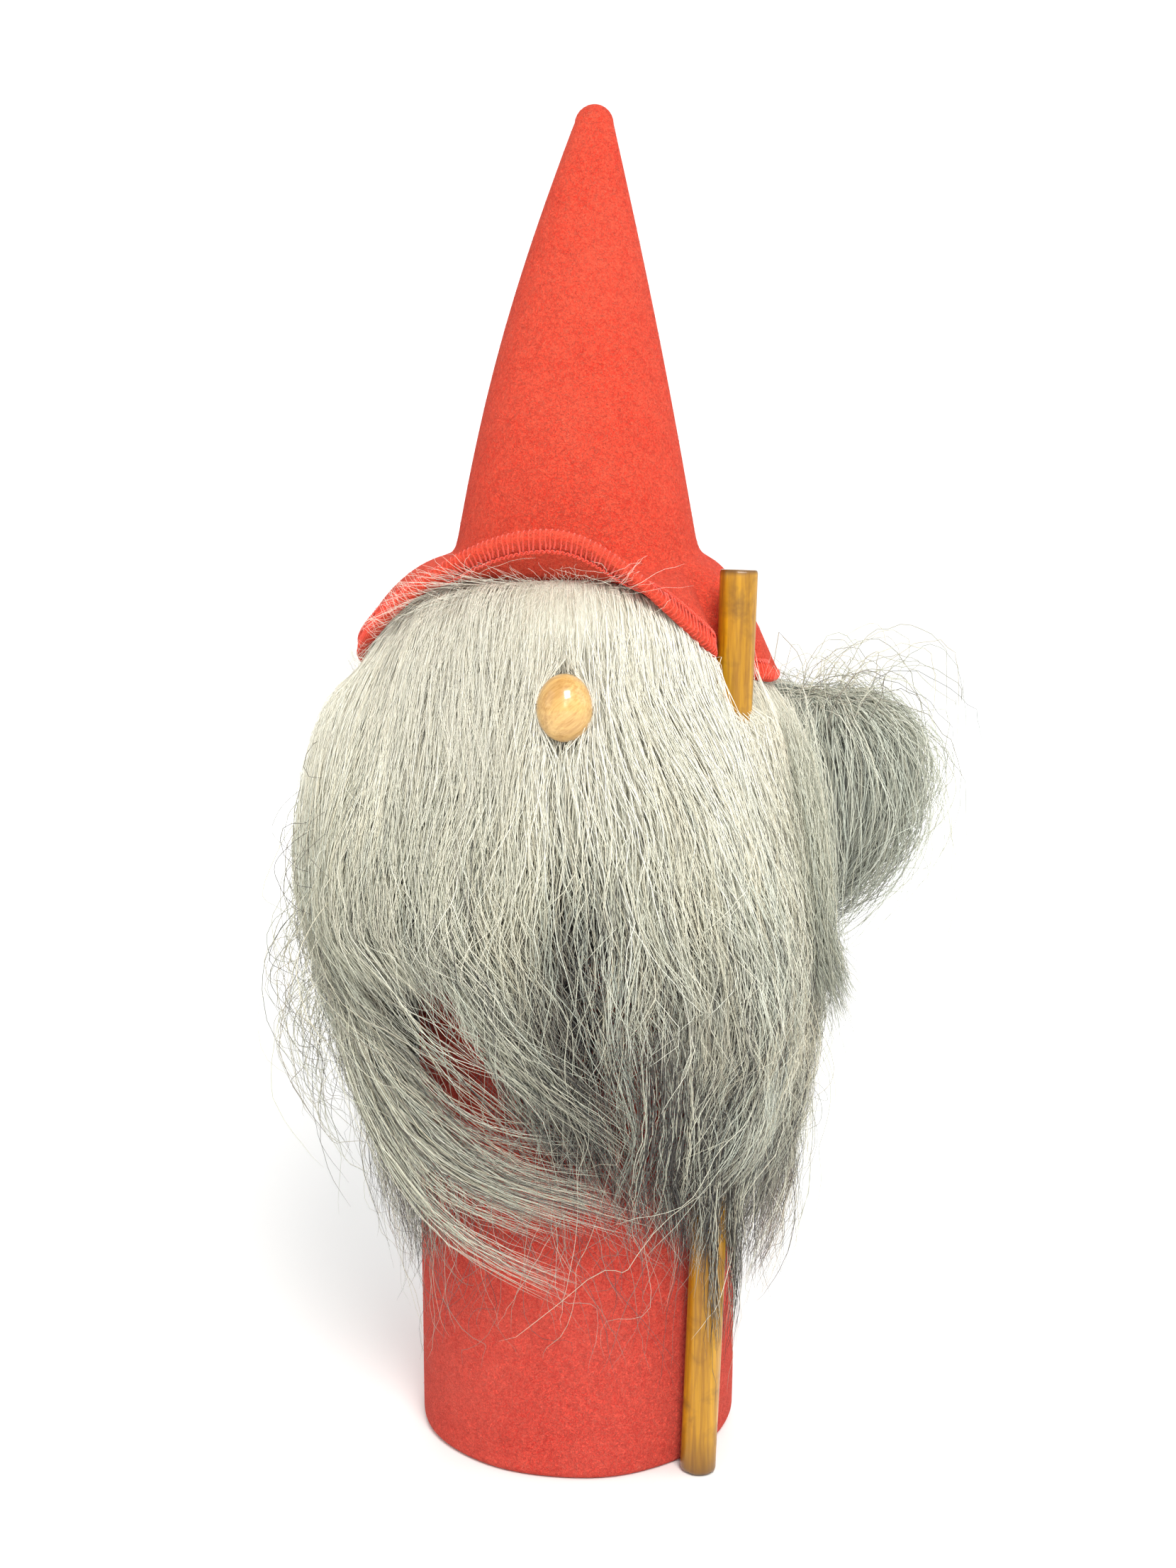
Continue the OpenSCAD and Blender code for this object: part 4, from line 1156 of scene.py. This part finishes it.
wisp_count = 80
wisp_azimuth = np.where(chance.uniform(0, 1, wisp_count) < 0.85, chance.uniform(-178, -112, wisp_count),
                        chance.uniform(-84, -64, wisp_count))
wisp_edge_z, wisp_edge_r, _, _ = brim_shape(wisp_azimuth)
wisp_turn = np.radians(wisp_azimuth)
wisp_out = ring_points(1, wisp_turn, 0)
wisp_root = wisp_out * (wisp_edge_r - 1)[:, None]
wisp_root[:, 2] = wisp_edge_z - chance.uniform(4, 9, wisp_count)
wisp_rise = np.array([0, 0, 1.0]) * chance.uniform(0, 6, wisp_count)[:, None]
wisp_stand = wisp_out * chance.uniform(4.2, 6.5, wisp_count)[:, None]
wisp_drift = sideways(wisp_turn) * chance.normal(0, 5, wisp_count)[:, None]
wisp_corners = (
    wisp_root,
    wisp_root + wisp_stand + 0.2 * wisp_rise,
    wisp_root + wisp_stand + wisp_rise + wisp_drift,
    wisp_root + 0.9 * wisp_stand + 1.3 * wisp_rise + 2 * wisp_drift,
)
wisp_paths = curved(wisp_corners, brow_points)
wisp_paths += chance.normal(0, 0.25, wisp_paths.shape) * np.linspace(0, 1, brow_points)[None, :, None]
wisp_paths = clear_neighbours(wisp_paths, stray_room)
hair_piece("brim_wisps", wisp_paths, *loose_looks(
    wisp_count, (0.035, 0.06), np.linspace(1, 0.4, brow_points), (0.12, 0.05), (0.6, 0.2)))

# ---------------------------------------------------------------------------------------------
# Nose: a turned egg-shaped wooden bead under clear varnish, with the small pip of the lathe in front.
# It sits on a peg, and its grain runs aslant.
nose_low, nose_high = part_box("nose_bead")
bead_centre = (nose_low + nose_high) / 2
bead_half = (nose_high - nose_low) / 2
bead_rows = []
bead_turn = np.linspace(0, 2 * math.pi, 72, endpoint=False)
for angle in np.linspace(3, 177, 44):
    ahead = math.cos(math.radians(angle))
    wide = math.sin(math.radians(angle))
    pip = 0.35 * MM * math.exp(-(angle / 9) ** 2)
    egg = 1 - 0.05 * np.sin(bead_turn)
    bead_rows.append(np.stack([
        bead_centre.x + bead_half.x * wide * np.cos(bead_turn) * egg,
        bead_centre.y - bead_half.y * ahead * 0.97 - pip + 0 * bead_turn,
        bead_centre.z + bead_half.z * wide * np.sin(bead_turn) * (1 - 0.03 * np.sin(bead_turn)),
    ], 1))
varnished_bead = wood_finish("Varnished bead wood", paint(216, 174, 104), paint(172, 124, 56), 0.35, 0.00003,
                             stretch=(1.0, 1.0, 0.08), fineness=1500.0, Coat_Weight=0.9, Coat_Roughness=0.09)
for shader_node in varnished_bead.node_tree.nodes:
    if shader_node.type == "GROUP":
        shader_node.inputs["Turn"].default_value = (0.0, math.radians(-52), 0.0)
bead = add_piece("nose_bead_turned", *skin(np.array(bead_rows), poles=True), varnished_bead, "body",
                 "nose_wood")
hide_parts("nose_bead")

# ---------------------------------------------------------------------------------------------
# Staff: a dowel stained yellow-brown and varnished, sawn flat at the top, with a darker worn foot. It
# leans a little, and a leather strap under the hair holds it.


def staff_finish():
    """Streaked yellow-brown stain with darker patches, a dirty foot and a raw dark top."""
    made, tree, shader = new_finish("Stained staff wood", 0.36, Coat_Weight=0.25, Coat_Roughness=0.2)
    grain = use_effect(tree, wood_grain, Pale=paint(198, 145, 12), Dark=paint(140, 92, 2),
                       Stretch=(1.0, 1.0, 0.05), Fineness=780.0)
    place = node(tree, "ShaderNodeTexCoord").outputs["Object"]
    patches = node(tree, "ShaderNodeTexNoise", Vector=place, Scale=110.0, Detail=4.0, Roughness=0.6,
                   Distortion=0.5)
    height = node(tree, "ShaderNodeSeparateXYZ", Vector=place).outputs["Z"]
    foot = node(tree, "ShaderNodeMapRange", Value=height, From_Min=0.013, From_Max=0.0)
    top = node(tree, "ShaderNodeMapRange", Value=height, From_Min=0.2424, From_Max=0.2436)
    ends = reckon(tree, "ADD", foot.outputs["Result"], top.outputs["Result"])
    spots = node(tree, "ShaderNodeMapRange", Value=patches.outputs["Fac"], From_Min=0.5, From_Max=0.85)
    dirt = reckon(tree, "MAXIMUM", spots.outputs["Result"], reckon(tree, "MULTIPLY", ends, 0.9))
    mix = node(tree, "ShaderNodeMix", _data_type="RGBA", Factor=dirt, A=grain.outputs["Color"],
               B=paint(98, 62, 6))
    tree.links.new(mix.outputs["Result"], shader.inputs["Base Color"])
    rough = node(tree, "ShaderNodeMapRange", Value=patches.outputs["Fac"], To_Min=0.25, To_Max=0.55)
    tree.links.new(rough.outputs["Result"], shader.inputs["Roughness"])
    add_bump(tree, shader, grain.outputs["Height"], 0.00012)
    return made


staff_length = 243.98
way = Vector(staff_way)
aside = way.orthogonal().normalized()
level_side = np.array(way.cross(aside))
aside = np.array(aside)
staff_turn = np.linspace(0, 2 * math.pi, 48, endpoint=False)
staff_rows = [(0.15, staff_r - 2.2), (0.15, staff_r - 0.9), (0.55, staff_r - 0.25)]
staff_rows += [(1.4 + share * (staff_length - 2.2), staff_r - 0.04) for share in np.linspace(0, 1, 110)]
staff_rows += [(staff_length - 0.25, staff_r - 0.22), (staff_length - 0.05, staff_r - 0.5),
               (staff_length - 0.05, 1.2)]
staff_grid = []
for travelled, radius in staff_rows:
    faceted = ripple(staff_turn, travelled, [
        (0.07, 3, 0.02, 0.5), (0.05, 5, -0.04, 1.5), (0.04, 9, 0.1, 0.2)])
    ring_r = (radius + faceted - 0.12)[:, None]
    centre = staff_foot + travelled * staff_way
    across = np.cos(staff_turn)[:, None] * aside + np.sin(staff_turn)[:, None] * level_side
    staff_grid.append(centre + ring_r * across)
dowel = add_piece("staff_dowel", *skin(np.array(staff_grid) * MM, poles=True), staff_finish(), "staff",
                  "staff_wood")
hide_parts("staff")

# ---------------------------------------------------------------------------------------------
# Hat: one piece of thick bright red felt, blocked into a tall cone with a flared brim that is turned
# up at the front. Wadding fills the crown.
hat_red = felt_finish("Hat red wool felt", paint(228, 56, 38), paint(253, 88, 62), paint(255, 132, 104), 0.12)
dress("hat_filling", fibre_finish("White wadding", paint(236, 234, 226), paint(206, 202, 190), 0.95, 260.0,
                                  4.0, 0.001))
hat_columns = 320
hat_azimuth = np.linspace(0, 360, hat_columns, endpoint=False)
half_felt = 1.5
tip_r = 5.2 - half_felt
tip_z = 358.8
hat_top_z = 364
hat_lean = 4.8
brim_steps = 26
edge_z, edge_r, fold_z, roundness = brim_shape(hat_azimuth)
hat_middle = []
for part in np.radians(90 * np.linspace(1, 0.02, brim_steps)):
    radius = crown_r + (edge_r - crown_r) * math.sin(part)
    height = edge_z + (fold_z - edge_z) * math.cos(part) ** roundness
    hat_middle.append((radius, height))
for share in np.linspace(0.012, 1, 64):
    radius = crown_r + (tip_r - crown_r) * share + 0.9 * math.sin(math.pi * share)
    swell = 2.6 * math.sin(math.pi * share) ** 0.9 * np.exp(-((wrap(hat_azimuth - 180)) / 75) ** 2)
    hat_middle.append((radius + swell, fold_z + (tip_z - fold_z) * share))
for angle in np.radians(np.linspace(15, 82, 6)):
    hat_middle.append((tip_r * math.cos(angle) + 0 * fold_z, tip_z + tip_r * math.sin(angle) + 0 * fold_z))
hat_profile = np.array(hat_middle)
leaning = hat_lean * np.clip((hat_profile[:, 1] - crown_z) / (hat_top_z - crown_z), 0, 1)
leaning[:brim_steps] = 0
hat_profile = np.concatenate([hat_profile, leaning[:, None]], 1)
soft = hat_profile.copy()
for _ in range(5):
    soft[1:-1] = 0.25 * soft[:-2] + 0.5 * soft[1:-1] + 0.25 * soft[2:]
near_fold = np.exp(-((np.arange(len(soft)) - brim_steps) / 6) ** 2)[:, None, None]
hat_profile = hat_profile * (1 - near_fold) + soft * near_fold
middle = ring_points(hat_profile[:, 0], np.radians(hat_azimuth), hat_profile[:, 1])
middle[..., 0] += hat_profile[:, 2]
down_way = np.gradient(middle, axis=0)
round_way = np.roll(middle, -1, 1) - np.roll(middle, 1, 1)
outward = np.cross(round_way, down_way)
outward /= np.linalg.norm(outward, axis=2, keepdims=True)
edge_way = middle[0] - middle[2]
edge_way /= np.linalg.norm(edge_way, axis=1, keepdims=True)
edge_way = sum(np.roll(edge_way, shift, 0) for shift in range(-7, 8))
edge_way -= (edge_way * outward[0]).sum(1, keepdims=True) * outward[0]
edge_way /= np.linalg.norm(edge_way, axis=1, keepdims=True)
round_edge = [
    middle[0] + half_felt * (outward[0] * math.cos(angle) + edge_way * math.sin(angle) * 0.8)
    for angle in np.linspace(math.pi, 0, 9)[1:-1]
]
inner_face = (middle - half_felt * outward)[::-1]
hat_grid = np.concatenate([inner_face, np.array(round_edge), middle + half_felt * outward])
hat = add_piece("felt_hat", *skin(hat_grid[::-1] * MM, poles=True), hat_red, "hat", "hat_felt")
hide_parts("hat_felt")

# ---------------------------------------------------------------------------------------------
# Brim edge: overlocked all round in red thread, stitch beside stitch, with a chain along each face.
# The stitches are even, but no two lean or reach quite alike.
edge_thread = thread_finish("Red overlock thread", paint(222, 54, 36), paint(250, 88, 62))
edge_line = middle[0]
edge_steps = np.linalg.norm(np.roll(edge_line, -1, 0) - edge_line, axis=1)
edge_travel = np.concatenate([[0], np.cumsum(edge_steps)])
stitch_pitch = 1.35
stitch_count = int(edge_travel[-1] / stitch_pitch)
stitch_at = np.linspace(0, edge_travel[-1], stitch_count, endpoint=False)


def along_edge(values, travel):
    """Values [columns, 3] of the brim, read off at distances along its edge."""
    closed = np.concatenate([values, values[:1]])
    travel = np.mod(travel, edge_travel[-1])
    return np.stack([np.interp(travel, edge_travel, closed[:, axis]) for axis in range(3)], -1)


inner_reach = 3.8
edge_share = 0.3
stitch_r = 0.24
stitch_reach = chance.uniform(0.72, 1.08, stitch_count)
stitch_lean = chance.normal(0.55, 0.2, stitch_count)
stitch_path = []
for share in np.linspace(0, 1, 15):
    reach = 1 - 2 * share
    across = half_felt - (0.02 if share < 0.5 else 0.12)
    travel = stitch_at + (stitch_lean * reach + chance.normal(0, 0.05, stitch_count))
    centre = along_edge(edge_line, travel)
    normal = along_edge(outward[0], travel)
    forward = along_edge(edge_way, travel)
    if abs(reach) > edge_share:
        back = (abs(reach) - edge_share) / (1 - edge_share) * inner_reach * stitch_reach[:, None]
        spot = centre - forward * back + normal * across * np.sign(reach)
    else:
        bend = reach / edge_share * math.pi / 2
        spot = centre + normal * across * math.sin(bend) + forward * (across - 0.1) * math.cos(bend) * 0.85
    stitch_path.append(spot)
stitch_path = np.stack(stitch_path, 1)
stitch_thick = np.full(stitch_path.shape[:2], stitch_r) * chance.uniform(0.85, 1.15, (stitch_count, 1))
stitch_tubes = tubes(stitch_path * MM, stitch_thick * MM, 6)
overlock = add_piece("overlock_stitches", *stitch_tubes, edge_thread, "hat", "thread")
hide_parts("hat_edge_thread")
chain_points = 9
chain_stitch = 1.9
chain_r = 0.2
for side, name in ((1, "overlock_chain_outer"), (-1, "overlock_chain_inner")):
    chain = []
    for share in np.linspace(0, 1, chain_points):
        travel = stitch_at + share * chain_stitch
        centre = along_edge(edge_line, travel)
        normal = along_edge(outward[0], travel)
        forward = along_edge(edge_way, travel)
        swing = 0.42 * math.sin(2 * math.pi * share)
        lift = 0.08 + 0.14 * math.sin(math.pi * share)
        chain.append(centre - forward * (inner_reach + swing) + normal * side * (half_felt + lift))
    chain = np.stack(chain, 1)
    chain_thick = np.full(chain.shape[:2], chain_r)
    add_piece(name, *tubes(chain * MM, chain_thick * MM, 5), edge_thread, "hat", "thread")

# ---------------------------------------------------------------------------------------------
# Loose wool: short fibres of the felt's own wool that stand off its surface on the hat and on the
# sleeve, each curved and lying at a low angle.


def grow_fuzz(name, spots, normals, finish, body, slot):
    """Short curved fibres that lie over the felt at a low angle."""
    count = len(spots)
    reach = chance.uniform(0.4, 1.5, count)[:, None]
    lay = np.cross(normals, chance.normal(0, 1, (count, 3)))
    lay /= np.linalg.norm(lay, axis=1, keepdims=True) + 1e-9
    lifted = normals * chance.uniform(0.15, 0.75, count)[:, None]
    turned = np.cross(normals, lay) * chance.normal(0, 0.4, count)[:, None]
    points = []
    for share in np.linspace(0, 1, 5):
        points.append(spots - normals * 0.12 + reach * (lay * share + lifted * math.sin(share * 2.4) * 0.6
                                                        + turned * share * share))
    paths = np.stack(points, 1)
    radii = chance.uniform(0.02, 0.04, count)[:, None] * np.array([1, 1, 0.9, 0.7, 0.3])[None]
    return add_piece(name, *tubes(paths * MM, radii * MM, 3), finish, body, slot)


hat_fibres = 5200
row = chance.integers(0, len(middle) - 4, hat_fibres)
column = chance.integers(0, hat_columns, hat_fibres)
keep = chance.uniform(0, 1, hat_fibres) < np.clip(hat_profile[row, 0, column] / 40, 0.1, 1)
row, column = row[keep], column[keep]
jitter = chance.uniform(0, 1, (len(row), 1))
hat_normal = outward[row, column]
hat_spot = middle[row, column] * (1 - jitter) + middle[row + 1, column] * jitter + half_felt * hat_normal
grow_fuzz("hat_fuzz", hat_spot, hat_normal, hat_red, "hat", "hat_felt")
sleeve_fibres = 4200
sleeve_face_r = 44.55
sleeve_turn = chance.uniform(0, 2 * math.pi, sleeve_fibres)
sleeve_height = chance.uniform(3, 135, sleeve_fibres)
sleeve_spot = ring_points(sleeve_face_r, sleeve_turn, sleeve_height)
grow_fuzz("sleeve_fuzz", sleeve_spot, ring_points(1, sleeve_turn, 0), sleeve_felt, "body", "body_felt")

# ---------------------------------------------------------------------------------------------
# Floor, light and camera: a plain pale floor that curves up far out, broad soft lights, and a view a
# little from above.
scene = bpy.context.scene
scene.view_settings.view_transform = "Standard"
pale, _, pale_shader = new_finish("Pale floor", 0.9)
pale_shader.inputs["Base Color"].default_value = paint(248, 248, 247)
floor_turn = np.linspace(0, 2 * math.pi, 96, endpoint=False)
floor_r = 2.0
wall_r = 1.2
floor_rows = [(0.02, 0.0)] + [(radius, 0.0) for radius in np.linspace(0.3, floor_r, 8)]
for angle in np.radians(range(6, 91, 6)):
    floor_rows.append((floor_r + wall_r * math.sin(angle), wall_r - wall_r * math.cos(angle)))
floor_points, floor_faces = skin(np.array([ring_points(radius, floor_turn, height)
                                           for radius, height in floor_rows]))
middle_face = list(range(len(floor_turn) - 1, -1, -1))
floor_mesh = bpy.data.meshes.new("studio_floor")
floor_mesh.from_pydata(floor_points.tolist(), [], floor_faces[0].tolist() + [middle_face])
for face in floor_mesh.polygons:
    face.use_smooth = True
floor = bpy.data.objects.new("studio_floor", floor_mesh)
scene.collection.objects.link(floor)
floor_mesh.materials.append(pale)

world = bpy.data.worlds.new("studio")
scene.world = world
world.use_nodes = True
world.node_tree.nodes["Background"].inputs["Color"].default_value = (1.0, 1.0, 1.0, 1.0)
world.node_tree.nodes["Background"].inputs["Strength"].default_value = 0.62


def add_light(name, place, aim, size, power, colour=(1.0, 1.0, 1.0)):
    """A soft rectangular light at a place, turned to face its aim."""
    lamp = bpy.data.lights.new(name, "AREA")
    lamp.shape = "RECTANGLE"
    lamp.size, lamp.size_y = size
    lamp.energy = power
    lamp.color = colour
    held = bpy.data.objects.new(name, lamp)
    held.location = place
    held.rotation_euler = (Vector(aim) - Vector(place)).to_track_quat("-Z", "Y").to_euler()
    scene.collection.objects.link(held)


add_light("front_soft", (0.25, -1.0, 1.05), (0, 0, 0.17), (0.55, 0.55), 19.0, (1.0, 0.99, 0.965))
add_light("left_soft", (-1.2, -0.5, 0.7), (0, 0, 0.15), (0.8, 1.0), 2.5)
add_light("right_soft", (1.2, -0.2, 0.8), (0, 0, 0.15), (0.8, 1.0), 3.0)
add_light("back_soft", (0.0, 1.3, 1.0), (0, 0, 0.18), (1.2, 0.8), 7.0)
add_light("wall_soft", (0.0, 1.0, 1.5), (0, 3.2, 0.5), (2.6, 0.6), 28.0)

camera_data = bpy.data.cameras.new("camera")
camera_data.lens = 43.2
camera_data.sensor_width = 36.0
camera_data.sensor_fit = "AUTO"
camera = bpy.data.objects.new("camera", camera_data)
camera.location = (0.003, -0.516, 0.265)
camera.rotation_euler = (math.radians(90 - 9), 0, 0)
scene.collection.objects.link(camera)
scene.camera = camera
